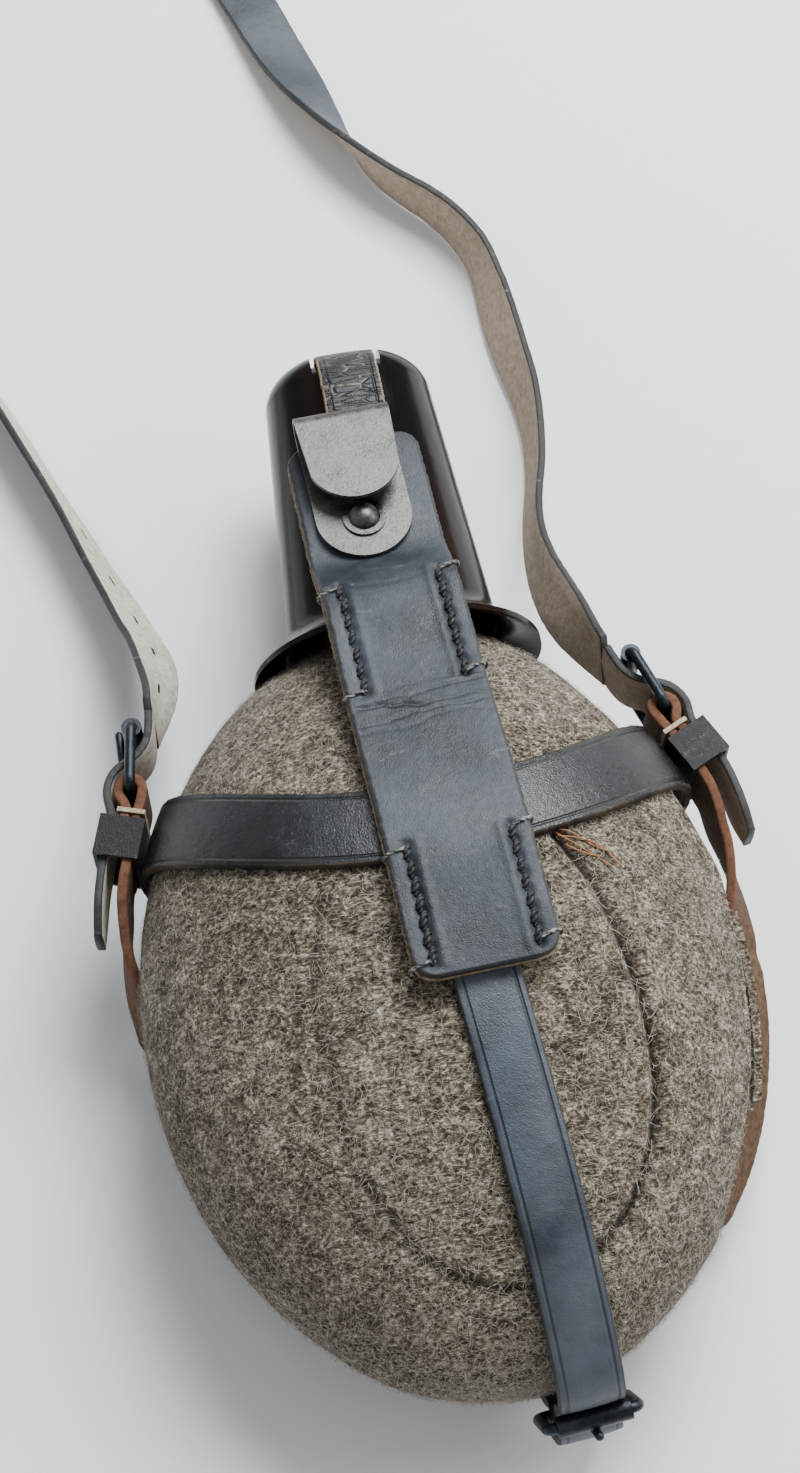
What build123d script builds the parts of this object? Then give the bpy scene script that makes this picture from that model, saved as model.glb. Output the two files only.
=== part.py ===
from build123d import *
from math import atan2, cos, degrees, hypot, pi, radians, sin, sqrt, tan
import os

# A one-litre felt-covered canteen lying on its back, with its cup, leather harness and shoulder strap.
# +Y runs from the bottle's bottom to the cup and +Z is up from the back it lies on.
# Everything is built around the neck's axis, and moved to the part's own origin when it is exported.

# ---------------------------------------------------------------- driving dimensions (mm)
AXIS_Z = 41.0  # height of the bottle's axis above the ground
BODY_Y = 100.5  # where the body is widest
FELT_X, FELT_Y, FELT_TOP, FELT_BACK = 75.5, 100.5, 45.0, 39.0  # half sizes of the felt
FELT_SHIFT = -3.5  # the felt hangs slacker on one side
FELT_FLAT_Z = 5.6  # height of the flattened back
FELT_THICK = 3.0
BOTTLE_X, BOTTLE_Y, BOTTLE_TOP, BOTTLE_BACK = 68.0, 96.5, 41.4, 35.4
BOTTLE_WALL = 1.2
NECK_R, NECK_TOP_Y = 14.0, 213.0
CAP_R, CAP_TOP_Y, CAP_FOOT_Y, CAP_WALL = 18.0, 222.0, 205.0, 2.0
SEAL_THICK = 1.8
CUP_BASE_Y, CUP_MOUTH_Y, LIP_Y = 285.0, 204.0, 192.0
CUP_BASE_R, CUP_MOUTH_R, LIP_R, CUP_WALL = 23.0, 28.0, 38.4, 2.2
CUP_FLATNESS = 0.85  # the cup's depth as a share of its width
CHANNEL_WIDE, CHANNEL_DEEP = 19.0, 3.0
STRAP_WIDE, STRAP_THICK, LEATHER_GAP = 16.0, 2.4, 0.3
BAND_WIDE, BAND_MID_Y, BAND_BEND_R = 20.0, 129.0, 110.0
PAD_WIDE, PAD_THICK, BACKING_THICK = 35.0, 3.0, 1.6
PAD_LOW_Y, PAD_HIGH_Y = 88.0, 246.0
PAD_LEAN = 2.65  # degrees by which the pad and its hook stray sideways
STITCH_LONG, STITCH_R, STITCH_SIDE = 3.6, 0.6, 12.6
HOOK_WIDE, HOOK_THICK, HOOK_GAP = 25.0, 1.2, 6.0
HOOK_FOLD_Y, HOOK_FOOT_Y, TONGUE_FOOT_Y, RIVET_Y = 247.5, 209.0, 222.5, 220.4
HOOK_X = -1.5
SLING_WIDE, SLING_THICK, SLING_GAP = 18.0, 2.6, 3.8
WIRE_R, ROLLER_R, ROLLER_LONG = 1.4, 2.6, 18.0
BUCKLE_WIDE, BUCKLE_LONG = 22.2, 17.0  # between wire centres
PRONG_R = 1.1
SIDE_BAR_Y, SIDE_BAR_Z = 165.0, 43.0
RIGHT, LEFT = 1, -1
BAR_X = {RIGHT: 68.1, LEFT: 70.2}  # a side buckle's hinge bar, from the felt's own centre line
BUCKLE_TILT = {RIGHT: 18.0, LEFT: 8.0}  # degrees by which the buckles lean inwards
LEG_TILT = {RIGHT: 26.0, LEFT: 18.0}  # and the sling's ends below them
KEEPER_LONG, KEEPER_WALL, KEEPER_PLAY = 11.0, 1.0, 0.3
LOW_STRAP_LEAN = 5.5  # degrees by which the front strap strays sideways
LOW_BAR_Y, LOW_BAR_Z, LOW_TILT = -1.8, 24.0, 20.0
SHOULDER_WIDE, SHOULDER_THICK = 17.0, 2.2

FELT = (FELT_X, FELT_Y, FELT_TOP, FELT_BACK, FELT_FLAT_Z, FELT_SHIFT)
BOTTLE = (BOTTLE_X, BOTTLE_Y, BOTTLE_TOP, BOTTLE_BACK, FELT_FLAT_Z + FELT_THICK + 0.6, 0.0)

# ---------------------------------------------------------------- shared shapes


def block(x, y, z):
    """A box from three (low, high) pairs."""
    low, high = zip(x, y, z)
    size = [b - a for a, b in zip(low, high)]
    return Pos(*low) * Box(*size, align=(Align.MIN, Align.MIN, Align.MIN))


def body(shape, grow):
    """The flattened oval of the bottle or its felt, with its skin moved out by grow."""
    half_x, half_y, top, back, flat_z, shift = shape
    ball = Rot(90, 0, 0) * Sphere(1)
    big = 2.0
    upper = ball & block((-big, big), (-big, big), (0, big))
    lower = ball & block((-big, big), (-big, big), (-big, 0))
    upper = scale(upper, by=(half_x + grow, half_y + grow, top + grow))
    lower = scale(lower, by=(half_x + grow, half_y + grow, back + grow))
    lower &= block((-200, 200), (-200, 200), (flat_z - AXIS_Z - grow, 1))
    return Pos(shift, BODY_Y, AXIS_Z) * (upper + lower)


def felt_shell(low, high):
    """The layer between two distances outside the felt."""
    return body(FELT, high) - body(FELT, low)


STANDING = (Align.CENTER, Align.CENTER, Align.MIN)


def along_y(radius, y0, y1, x=0.0, z=AXIS_Z):
    """A round bar along Y."""
    return Pos(x, y0, z) * Rot(-90, 0, 0) * Cylinder(radius, y1 - y0, align=STANDING)


def felt_top(y):
    """Height of the felt's crown at a place along its length."""
    t = (y - BODY_Y) / FELT_Y
    return AXIS_Z + FELT_TOP * sqrt(max(0.0, 1 - t * t))


def cup_half(y):
    """Half the cup's outer width at a place on its plain wall."""
    return CUP_BASE_R + (CUP_BASE_R - CUP_MOUTH_R) * (y - 275.0) / (275.0 - CUP_MOUTH_Y)


def cup_top(y):
    return AXIS_Z + CUP_FLATNESS * cup_half(y)


def strip(curve, low, high, wide, plane, count=72):
    """A strap: the band between two distances to the left of a curve, extruded either side of the plane."""
    edges = []
    for reach in (low, high):
        points = []
        for k in range(count + 1):
            tangent = (curve % (k / count)).normalized()
            points.append(curve @ (k / count) + Vector(-tangent.Y, tangent.X, 0) * reach)
        edges.append(Spline(*points))
    inner, outer = edges
    face = make_face(inner + Line(inner @ 1, outer @ 1) + outer + Line(outer @ 0, inner @ 0))
    return plane * extrude(face, wide / 2, both=True)


SIDE_VIEW = Plane(origin=(0, 0, 0), x_dir=(0, 1, 0), z_dir=(1, 0, 0))  # local X is Y, local Y is Z


# ---------------------------------------------------------------- bottle


def bottle():
    shell = body(BOTTLE, 0) - body(BOTTLE, -BOTTLE_WALL)
    neck_low = BODY_Y + 86
    bore = along_y(NECK_R - BOTTLE_WALL, neck_low - 8, NECK_TOP_Y + 1)
    neck = along_y(NECK_R, neck_low, NECK_TOP_Y)
    for k in range(2):
        neck += along_y(NECK_R + 0.9, NECK_TOP_Y - 3.4 - 3.0 * k, NECK_TOP_Y - 2.4 - 3.0 * k)
    return shell + (neck - body(BOTTLE, -BOTTLE_WALL)) - bore


def screw_cap():
    skirt = along_y(CAP_R, CAP_FOOT_Y, CAP_TOP_Y)
    skirt = fillet(skirt.edges().group_by(Axis.Y)[-1], 3)
    inside = NECK_TOP_Y + SEAL_THICK + 0.1
    cap = skirt - along_y(NECK_R + 1.3, CAP_FOOT_Y - 1, inside)
    grip_count = 24
    for k in range(grip_count):
        turn = 2 * pi * k / grip_count
        x, z = (CAP_R + 0.2) * cos(turn), (CAP_R + 0.2) * sin(turn)
        cap -= along_y(0.7, CAP_FOOT_Y + 1, CAP_TOP_Y - 4, x, AXIS_Z + z)
    return cap


def cap_seal():
    ring = along_y(NECK_R + 1.0, NECK_TOP_Y + 0.05, NECK_TOP_Y + SEAL_THICK)
    return ring - along_y(4, NECK_TOP_Y, NECK_TOP_Y + 5)


def felt_cover():
    cover = body(FELT, 0) - body(FELT, -FELT_THICK + 0.5)
    collar = along_y(NECK_R + 3.4, BODY_Y + 92, BODY_Y + 100)
    cover += collar - body(FELT, -1)
    return cover - along_y(NECK_R + 0.4, BODY_Y + 80, BODY_Y + 120)


def cover_overlap():
    """The second layer of felt where the cover closes down one side."""
    flap = felt_shell(0.3, 2.3) & block((20, 120), (62, 116), (FELT_FLAT_Z + 6, AXIS_Z - 4))
    return flap


def press_studs():
    """Three flat studs that close the overlap, following the felt's curve."""
    turn = Rot(0, 110, 0)
    bars = [Pos(20, y, AXIS_Z - 5) * turn * Cylinder(3.2, 90, align=STANDING) for y in (74.0, 91.0, 108.0)]
    return felt_shell(2.4, 3.4) & (bars[0] + bars[1] + bars[2])


# ---------------------------------------------------------------- cup and what travels with it


def cup():
    """A turned cup, flattened, with a flared lip and a channel across its base for the strap."""
    corner = 10.0
    half = cup_half(CUP_BASE_Y - corner)
    outside = Polyline((0, CUP_BASE_Y), (half - corner, CUP_BASE_Y))
    outside += TangentArc((half - corner, CUP_BASE_Y), (half, CUP_BASE_Y - corner), tangent=(1, 0))
    outside += Line((half, CUP_BASE_Y - corner), (CUP_MOUTH_R, CUP_MOUTH_Y))
    flare = [(CUP_MOUTH_R, CUP_MOUTH_Y), (LIP_R, LIP_Y + 1.6)]
    outside += Spline(*flare, tangents=((0.07, -1), (1, -0.25)), tangent_scalars=(1, 1))
    outside += Line((LIP_R, LIP_Y + 1.6), (LIP_R, LIP_Y))
    inner_base, inner_corner = CUP_BASE_Y - 5.6, 8.0
    inner_half = half - CUP_WALL
    mouth = (CUP_MOUTH_R - CUP_WALL, CUP_MOUTH_Y - 0.6)
    inside = Spline((LIP_R, LIP_Y), mouth, tangents=((-1, 0.2), (-0.07, 1)), tangent_scalars=(1, 1))
    inside += Line(mouth, (inner_half, inner_base - inner_corner))
    inside += TangentArc(
        (inner_half, inner_base - inner_corner), (inner_half - inner_corner, inner_base), tangent=(-0.07, 1)
    )
    inside += Line((inner_half - inner_corner, inner_base), (0, inner_base))
    inside += Line((0, inner_base), (0, CUP_BASE_Y))
    turned = revolve(make_face(outside + inside), Axis.Y)
    flat = Pos(0, 0, AXIS_Z) * scale(turned, by=(1, 1, CUP_FLATNESS))
    return flat - strip(base_line(), -LEATHER_GAP, 9.0, CHANNEL_WIDE, SIDE_VIEW)


def top_line():
    """Side-view points of whatever the pad and the overhead strap lie on, from the belly to the cup."""
    low = [(y, felt_top(y) + LEATHER_GAP) for y in (PAD_LOW_Y, 100, 112, 124, 136, 148)]
    shoulder = [(160, 78.4), (172, 76.5), (182, 75.5), (189, 75.1), (194, 74.0), (199, 70.9), (204, 67.2)]
    wall = [(y, cup_top(y) + 0.35) for y in (210, 220, 230, 240, PAD_HIGH_Y)]
    return low + shoulder + wall


def base_line():
    """Round the cup's base, in the channel's floor."""
    floor = CUP_BASE_Y - CHANNEL_DEEP + LEATHER_GAP
    rise = CUP_FLATNESS * CUP_BASE_R
    front = [(258, cup_top(258) + 0.35 - AXIS_Z), (264, cup_top(264) + 0.35 - AXIS_Z), (271, rise + 0.2)]
    front += [(277, rise - 2.2), (280.8, rise - 6.2), (floor, rise - 11.5)]
    points = [(y, AXIS_Z + z) for y, z in front] + [(y, AXIS_Z - z) for y, z in reversed(front)]
    return Spline(*points)


def cup_strap():
    """From under the pad, over the cup's base and down its back to the bottle's shoulder."""
    line = base_line()
    over = [((line @ (k / 24)).X, (line @ (k / 24)).Y) for k in range(25)]
    front = [(y, z) for y, z in top_line() if y > 175]
    back = [(225, 18.0), (211, 16.3), (203, 12.3), (193, 7.2), (184, 6.6)]
    return strip(Spline(*front, *over, *back), 0, STRAP_THICK, STRAP_WIDE, SIDE_VIEW, 140)


PAD_GAP = STRAP_THICK + 0.4  # the pad lies over the straps


def layer(low, high):
    return strip(Spline(*top_line()), PAD_GAP + low, PAD_GAP + high, PAD_WIDE, SIDE_VIEW)


def pad_lean(shape):
    """The pad and all that is fixed to it lie a little askew."""
    return Pos(-1.0, 186, 0) * Rot(0, 0, PAD_LEAN) * Pos(0, -186, 0) * shape


def round_corners(solid, radius):
    """Rounds the four corners that show in plan."""
    upright = solid.edges().filter_by(GeomType.LINE).filter_by(lambda e: abs((e % 0.5).X) < 0.3)
    ends = upright.group_by(Axis.Y)
    return fillet(ends[0] + ends[-1], radius)


def hook_pad():
    low = BACKING_THICK + 0.1
    return round_corners(layer(low, low + PAD_THICK), 5.0) - rivet_hole()


def pad_backing():
    return round_corners(layer(0, BACKING_THICK), 5.0) - rivet_hole()


PAD_SLOPE = degrees(atan2(cup_top(245) - cup_top(225), 20.0))
PLATE_Z = cup_top(RIVET_Y) + 0.35 + PAD_GAP + BACKING_THICK + 0.1 + PAD_THICK + 0.8


def on_pad(shape):
    """Puts a piece drawn flat, with its origin at the rivet, onto the slope of the pad."""
    return Pos(HOOK_X, RIVET_Y, PLATE_Z) * Rot(PAD_SLOPE, 0, 0) * shape


def rivet_hole():
    return on_pad(Cylinder(2.25, 14))


def belt_hook():
    """One strip of steel: a long plate against the pad, folded over into a short tongue."""
    top = HOOK_FOLD_Y - RIVET_Y
    foot = HOOK_FOOT_Y - RIVET_Y
    tongue = TONGUE_FOOT_Y - RIVET_Y
    half = HOOK_WIDE / 2
    plate = extrude(Pos(0, (top + foot) / 2 + half / 2) * Rectangle(HOOK_WIDE, top - foot - half), HOOK_THICK)
    plate += extrude(Pos(0, foot + half) * Circle(half), HOOK_THICK)
    plate -= Cylinder(2.25, 8)
    front_z = HOOK_THICK + HOOK_GAP
    outline = Polyline((-half, top), (half, top), (half - 1.0, tongue + 8.5))
    outline += ThreePointArc((half - 1.0, tongue + 8.5), (0, tongue), (1.0 - half, tongue + 8.5))
    outline += Line((1.0 - half, tongue + 8.5), (-half, top))
    front = Pos(0, 0, front_z) * extrude(make_face(outline), HOOK_THICK)
    outer, inner = HOOK_GAP / 2 + HOOK_THICK, HOOK_GAP / 2
    bend = Cylinder(outer, HOOK_WIDE) - Cylinder(inner, HOOK_WIDE)
    bend = Pos(0, top, HOOK_THICK + inner) * Rot(0, 90, 0) * bend
    bend &= block((-half, half), (top, top + 10), (-5, 20))
    return on_pad(plate + front + bend)


def hook_rivet():
    head = Pos(0, 0, HOOK_THICK + 0.05) * Cylinder(5.6, 0.7, align=STANDING)
    dome_base = Pos(0, 0, HOOK_THICK + 0.75)
    dome = dome_base * (Sphere(4.4) & block((-6, 6), (-6, 6), (1.6, 6)))
    dome = Pos(0, 0, -1.6) * dome
    shank = Pos(0, 0, -5.75) * Cylinder(2.0, 5.75 + HOOK_THICK + 0.1, align=STANDING)
    return on_pad(head + dome + shank)


def rivet_washer():
    ring = Cylinder(3.1, 0.12) - Cylinder(2.05, 2)
    return on_pad(Pos(0, 0, -5.69) * ring)


def stitches(rows):
    """Short thick stitches lying along both sides of the pad, between two places."""
    low, high = rows
    line = Spline(*top_line())
    lift = PAD_GAP + BACKING_THICK + 0.1 + PAD_THICK + STITCH_R + 0.1
    count = 7
    made = []
    for side in (-1, 1):
        for k in range(count):
            at = place_at(line, low + (high - low) * (k + 0.5) / count)
            point, tangent = line @ at, (line % at).normalized()
            tilt = degrees(atan2(tangent.Y, tangent.X))
            y, z = point.X - tangent.Y * lift, point.Y + tangent.X * lift
            place = Pos(side * STITCH_SIDE, y, z) * Rot(-90 + tilt, 0, 0)
            made.append(place * Cylinder(STITCH_R, STITCH_LONG))
    return Compound(made)


def place_at(line, y):
    """How far along a line of the side view lies at y."""
    low, high = 0.0, 1.0
    for _ in range(30):
        mid = (low + high) / 2
        if (line @ mid).X < y:
            low = mid
        else:
            high = mid
    return low


# ---------------------------------------------------------------- harness on the body


def side_band():
    """The girth band, lower in front than at the sides."""
    centre_y = BAND_MID_Y + BAND_BEND_R
    ring = Circle(BAND_BEND_R + BAND_WIDE / 2) - Circle(BAND_BEND_R - BAND_WIDE / 2)
    lower_half = Pos(0, -130) * Rectangle(300, 190)
    region = Pos(FELT_SHIFT, centre_y, -10) * extrude(ring & lower_half, 120)
    return felt_shell(LEATHER_GAP, LEATHER_GAP + STRAP_THICK) & region


def lean(shape):
    """Turns the front strap and its buckle so that they stray to one side at the bottom."""
    return Pos(0.5, 112, 0) * Rot(0, 0, LOW_STRAP_LEAN) * Pos(-0.5, -112, 0) * shape


# ---------------------------------------------------------------- buckles
# Each buckle has its own frame: X points outwards, Y from the hinge bar to the roller, Z along the bars.


def side_frame(side, tilts):
    """The frame at a side buckle's hinge bar."""
    turn = radians(tilts[side])
    outwards = (side * cos(turn), sin(turn), 0)
    bar = (FELT_SHIFT + side * BAR_X[side], SIDE_BAR_Y, SIDE_BAR_Z)
    return Plane(origin=bar, x_dir=outwards, z_dir=(0, 0, side))


def low_frame():
    turn = radians(LOW_TILT)
    return Plane(origin=(0.5, LOW_BAR_Y, LOW_BAR_Z), x_dir=(0, -cos(turn), -sin(turn)), z_dir=(-1, 0, 0))


def buckle_frame():
    """A ring of round wire with rounded corners."""
    half, mid = BUCKLE_WIDE / 2, BUCKLE_LONG / 2
    ring = None
    for bar in (0.0, BUCKLE_LONG):
        path = FilletPolyline((0, mid, -half), (0, bar, -half), (0, bar, half), (0, mid, half), radius=2.0)
        start = Plane(origin=path @ 0, z_dir=path % 0)
        side = sweep(start * Circle(WIRE_R), path=path)
        ring = side if ring is None else ring + side
    return ring


def buckle_roller():
    tube = Cylinder(ROLLER_R, ROLLER_LONG) - Cylinder(WIRE_R + 0.15, ROLLER_LONG + 2)
    return Pos(0, BUCKLE_LONG, 0) * tube


def buckle_prong():
    """An eye on the hinge bar, and a round tongue whose tip lies on the roller."""
    eye = Cylinder(2.8, 3.4) - Cylinder(WIRE_R + 0.15, 6)
    foot, tip = Vector(1.75, 1.0, 0), Vector(4.0, 18.8, 0)
    along = (tip - foot).normalized()
    shank = Plane(origin=foot, z_dir=along) * Cylinder(PRONG_R, (tip - foot).length, align=STANDING)
    shank += Pos(*tip) * Sphere(PRONG_R)
    return eye + (shank - Cylinder(WIRE_R + 0.15, 6))


def prong_slot(low, high, wide):
    return block((-12, 12), (low, high), (-wide / 2, wide / 2))


# ---------------------------------------------------------------- front and back straps


def low_point(n, v):
    """A point of the low buckle's frame as (y, z) of the side view."""
    turn = radians(LOW_TILT)
    y = LOW_BAR_Y - n * cos(turn) - v * sin(turn)
    z = LOW_BAR_Z - n * sin(turn) + v * cos(turn)
    return (y, z)


def front_strap():
    """From under the pad over the belly, under the roller, and out over the hinge bar to a short tail."""
    crown = [(110.0, felt_top(110) + LEATHER_GAP)]
    for angle in range(83, 12, -9):
        along = BODY_Y - (FELT_Y + 0.5) * cos(radians(angle))
        crown.append((along, AXIS_Z + (FELT_TOP + LEATHER_GAP) * sin(radians(angle))))
    crown = crown[:-1]
    through = [low_point(n, v) for n, v in ((-5.4, 19), (-5.0, 14), (-1.0, 7.6), (3.3, 4.4), (4.9, 0))]
    through += [low_point(n, v) for n, v in ((5.0, -6), (4.4, -14))]
    solid = strip(Spline(*crown, *through), -STRAP_THICK, 0, STRAP_WIDE, SIDE_VIEW, 110)
    solid = Pos(0.5, 0, 0) * solid
    solid -= low_frame() * prong_slot(0.5, 10.5, 3.2)
    spare = Pos(0.5, 0, 56) * Rot(60, 0, 0) * Cylinder(1.6, 40)
    return lean(solid - spare)


def back_strap():
    """Looped round the low buckle's bar, then along the ground to the bottle's shoulder."""
    reach = WIRE_R + 0.3
    loop = [(reach, -7), (reach, -3), (reach, 0)]
    loop += [(reach * cos(radians(a)), reach * sin(radians(a))) for a in (45, 90, 135)]
    loop += [(-reach, 0), (-reach, -3)]
    side = [low_point(n, v) for n, v in loop]
    ground = [(8.0, 10.0), (17, 3.2), (32, 0.2), (50, 0), (90, 0), (140, 0), (200, 0)]
    solid = strip(Spline(*side, *ground), 0, STRAP_THICK, STRAP_WIDE, SIDE_VIEW, 160)
    solid = Pos(0.5, 0, 0) * solid - low_frame() * prong_slot(-4, 7, 4.0)
    return lean(solid) & block((-60, 60), (-40, 198), (0, 60))


# ---------------------------------------------------------------- side sling


def sling_legs(side):
    """The sling's end: up inside the bar, over it, and a short return sewn to itself."""
    reach = WIRE_R + 0.3
    over = [(reach * cos(radians(a)), reach * sin(radians(a))) for a in (135, 90, 45)]
    foot = -reach - 15 * sin(radians(LEG_TILT[side] - 19))
    line = [(foot, -31), (-reach, -16), (-reach, -5), (-reach, 0)] + over
    line += [(reach, 0), (reach - 0.4, -2.0), (-1.05, -5.0), (-1.2, -8), (-1.3, -14)]
    solid = strip(Spline(*line), 0, SLING_THICK, SLING_WIDE, Plane.XY, 120)
    return side_frame(side, LEG_TILT) * solid - side_frame(side, BUCKLE_TILT) * prong_slot(-4, 7, 4.2)


def sling_half(side):
    """One half of the sling, flat against the body, sinking towards the back on its way to the bottom."""
    belly = 27.0 if side == RIGHT else 20.0
    middle = [(142, 43), (104, belly), (40, (belly + 16) / 2), (-20, 9)]
    half = SLING_WIDE / 2
    outline = [(y, z + half) for y, z in middle] + [(y, z - half) for y, z in reversed(middle)]
    slab = extrude(SIDE_VIEW * make_face(Polyline(*outline, close=True)), 120 * side)
    return felt_shell(SLING_GAP, SLING_GAP + SLING_THICK) & (Pos(FELT_SHIFT, 0, 0) * slab)


def side_sling():
    """One strap from buckle to buckle, round the sides and under the bottom."""
    return sling_half(RIGHT) + sling_half(LEFT) + sling_legs(RIGHT) + sling_legs(LEFT)


def sling_tie(side):
    """Waxed thread round the sling's sewn end."""
    outer = block((-5.0, 2.1), (-7.0, -5.8), (-9.7, 9.7))
    inner = block((-4.45, 1.6), (-8, -5), (-9.15, 9.15))
    return side_frame(side, LEG_TILT) * (outer - inner)


def side_keeper(side):
    """A leather loop round the sling's end and the shoulder strap's tail."""
    low, high = -19.5, -19.5 + KEEPER_LONG
    x0, x1 = -WIRE_R - 0.3 - SLING_THICK - KEEPER_PLAY, 2.4 + SHOULDER_THICK + KEEPER_PLAY
    z1 = SLING_WIDE / 2 + 0.4
    hole = block((x0, x1), (low - 1, high + 1), (-z1, z1))
    wall = KEEPER_WALL
    loop = block((x0 - wall, x1 + wall), (low, high), (-z1 - wall, z1 + wall)) - hole
    return side_frame(side, LEG_TILT) * loop


# ---------------------------------------------------------------- shoulder strap

STRAP_JOIN = (-5.3 + SHOULDER_THICK / 2, 22.0)  # where the run meets the tail, in the buckle's frame
STRAP_SWAY = {RIGHT: 0.5, LEFT: 2.5}  # how far each run bows inwards just above its buckle
SHOULDER_Z = SHOULDER_WIDE / 2 + 0.1  # height of the strap's middle where it lies on its edge
RIGHT_RUN = [(44.5, 236), (56, 277), (51.5, 318), (49, 352), (20, 381), (5, 421), (-6, 463)]
LOOP = [(-24, 514), (-66, 571), (-132, 590), (-190, 556), (-208, 492), (-180, 432), (-132, 378)]
LEFT_RUN = [(-103, 325), (-84, 278), (-70, 238)]


def strap_tail(side):
    """From inside the roller, out over the hinge bar and down through the keeper."""
    turn = radians(LEG_TILT[side] - BUCKLE_TILT[side])
    inwards = LEG_TILT[side] - 18.0

    def leg(n, v):
        return (n * cos(turn) - v * sin(turn), n * sin(turn) + v * cos(turn))

    upper = [(-5.3, 22), (-5.3, 17.5), (-4.6, 13), (-0.6, 7.6), (3.4, 4.3), (4.8, 0.8)]
    lower = [leg(4.6, -2.2), leg(3.1, -5.6), leg(2.3, -9), leg(2.2, -14), leg(2.2, -19)]
    lower += [leg(1.6 - 0.17 * inwards, -28), leg(-0.4 * inwards, -39)]
    solid = strip(Spline(*upper, *lower), 0, SHOULDER_THICK, SHOULDER_WIDE, Plane.XY)
    return side_frame(side, BUCKLE_TILT) * (solid - prong_slot(0.3, 10.0, 3.2))


def shoulder_route():
    """The plan of the strap's centre line, from the right buckle round the loop to the left one."""
    ends = []
    for side in (RIGHT, LEFT):
        frame = side_frame(side, BUCKLE_TILT)
        start = frame.from_local_coords(Vector(*STRAP_JOIN, 0))
        above = frame.from_local_coords(Vector(STRAP_JOIN[0] - STRAP_SWAY[side], STRAP_JOIN[1] + 21, 0))
        ends.append([(start.X, start.Y), (above.X, above.Y)])
    return ends[0] + RIGHT_RUN + LOOP + LEFT_RUN + ends[1][::-1]


def route_radii(points):
    """The largest tangent arc at each corner that its two runs allow."""
    radii = []
    for a, b, c in zip(points, points[1:], points[2:]):
        run_in, run_out = (b[0] - a[0], b[1] - a[1]), (c[0] - b[0], c[1] - b[1])
        across = run_in[0] * run_out[1] - run_in[1] * run_out[0]
        turn = abs(atan2(across, run_in[0] * run_out[0] + run_in[1] * run_out[1]))
        radii.append(0.45 * min(hypot(*run_in), hypot(*run_out)) / tan(turn / 2))
    return radii


def shoulder_strap():
    """One strap on its edge: down from both buckles to the ground, and round in a loop."""
    points = shoulder_route()
    radii = route_radii(points)
    path = FilletPolyline(*points, radius=radii)
    tall = 60.0
    start = Plane(origin=path @ 0, x_dir=(0, 0, 1), z_dir=path % 0)
    wall = sweep(start * Rectangle(tall * 2, SHOULDER_THICK), path=path)
    half = SHOULDER_WIDE / 2
    middle = [(150, SIDE_BAR_Z), (192, SIDE_BAR_Z), (262, SHOULDER_Z), (700, SHOULDER_Z)]
    outline = [(y, z + half) for y, z in middle] + [(y, z - half) for y, z in reversed(middle)]
    side = extrude(SIDE_VIEW * make_face(Polyline(*outline, close=True)), 400, both=True)
    strap = wall & side
    print("shoulder strap route", [(round(x, 1), round(y, 1)) for x, y in points])
    print("arc radii", [round(r) for r in radii], "length", round(path.length), "volume", round(strap.volume))
    return strap


# ---------------------------------------------------------------- the whole canteen


def canteen():
    parts = {
        "bottle": bottle(),
        "screw_cap": screw_cap(),
        "cap_seal": cap_seal(),
        "felt_cover": felt_cover(),
        "cover_overlap": cover_overlap(),
        "press_studs": press_studs(),
        "cup": cup(),
        "cup_strap": cup_strap() - rivet_hole(),
        "hook_pad": pad_lean(hook_pad()),
        "pad_backing": pad_lean(pad_backing()),
        "upper_stitches": pad_lean(stitches((165.5, 199))),
        "lower_stitches": pad_lean(stitches((90.5, 121.5))),
        "belt_hook": pad_lean(belt_hook()),
        "hook_rivet": pad_lean(hook_rivet()),
        "rivet_washer": pad_lean(rivet_washer()),
        "side_band": side_band(),
        "front_strap": front_strap(),
        "back_strap": back_strap(),
        "side_sling": side_sling(),
        "shoulder_strap": shoulder_strap(),
    }
    for side, name in ((RIGHT, "right"), (LEFT, "left")):
        frame = side_frame(side, BUCKLE_TILT)
        parts[f"{name}_buckle"] = frame * buckle_frame()
        parts[f"{name}_roller"] = frame * buckle_roller()
        parts[f"{name}_prong"] = frame * buckle_prong()
        parts[f"{name}_tail"] = strap_tail(side)
        parts[f"{name}_keeper"] = side_keeper(side)
        parts[f"{name}_sling_tie"] = sling_tie(side)
    parts["bottom_buckle"] = lean(low_frame() * buckle_frame())
    parts["bottom_roller"] = lean(low_frame() * buckle_roller())
    parts["bottom_prong"] = lean(low_frame() * buckle_prong())
    return parts


def own_origin(parts):
    """The middle of the underside, without the free strap."""
    boxes = [shape.bounding_box() for name, shape in parts.items() if name != "shoulder_strap"]
    x = (min(b.min.X for b in boxes) + max(b.max.X for b in boxes)) / 2
    y = (min(b.min.Y for b in boxes) + max(b.max.Y for b in boxes)) / 2
    z = min(b.min.Z for b in boxes)
    return Vector(x, y, z)


parts = canteen()
origin = own_origin(parts)
print("origin", round(origin.X, 3), round(origin.Y, 3), round(origin.Z, 3))
os.makedirs("parts", exist_ok=True)
for name, shape in parts.items():
    export_step(Pos(-origin.X, -origin.Y, -origin.Z) * shape, f"parts/{name}.step")
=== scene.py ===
from math import cos, pi, radians, sin, sqrt

import bpy
import numpy as np
from mathutils import Matrix, Vector, noise


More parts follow.
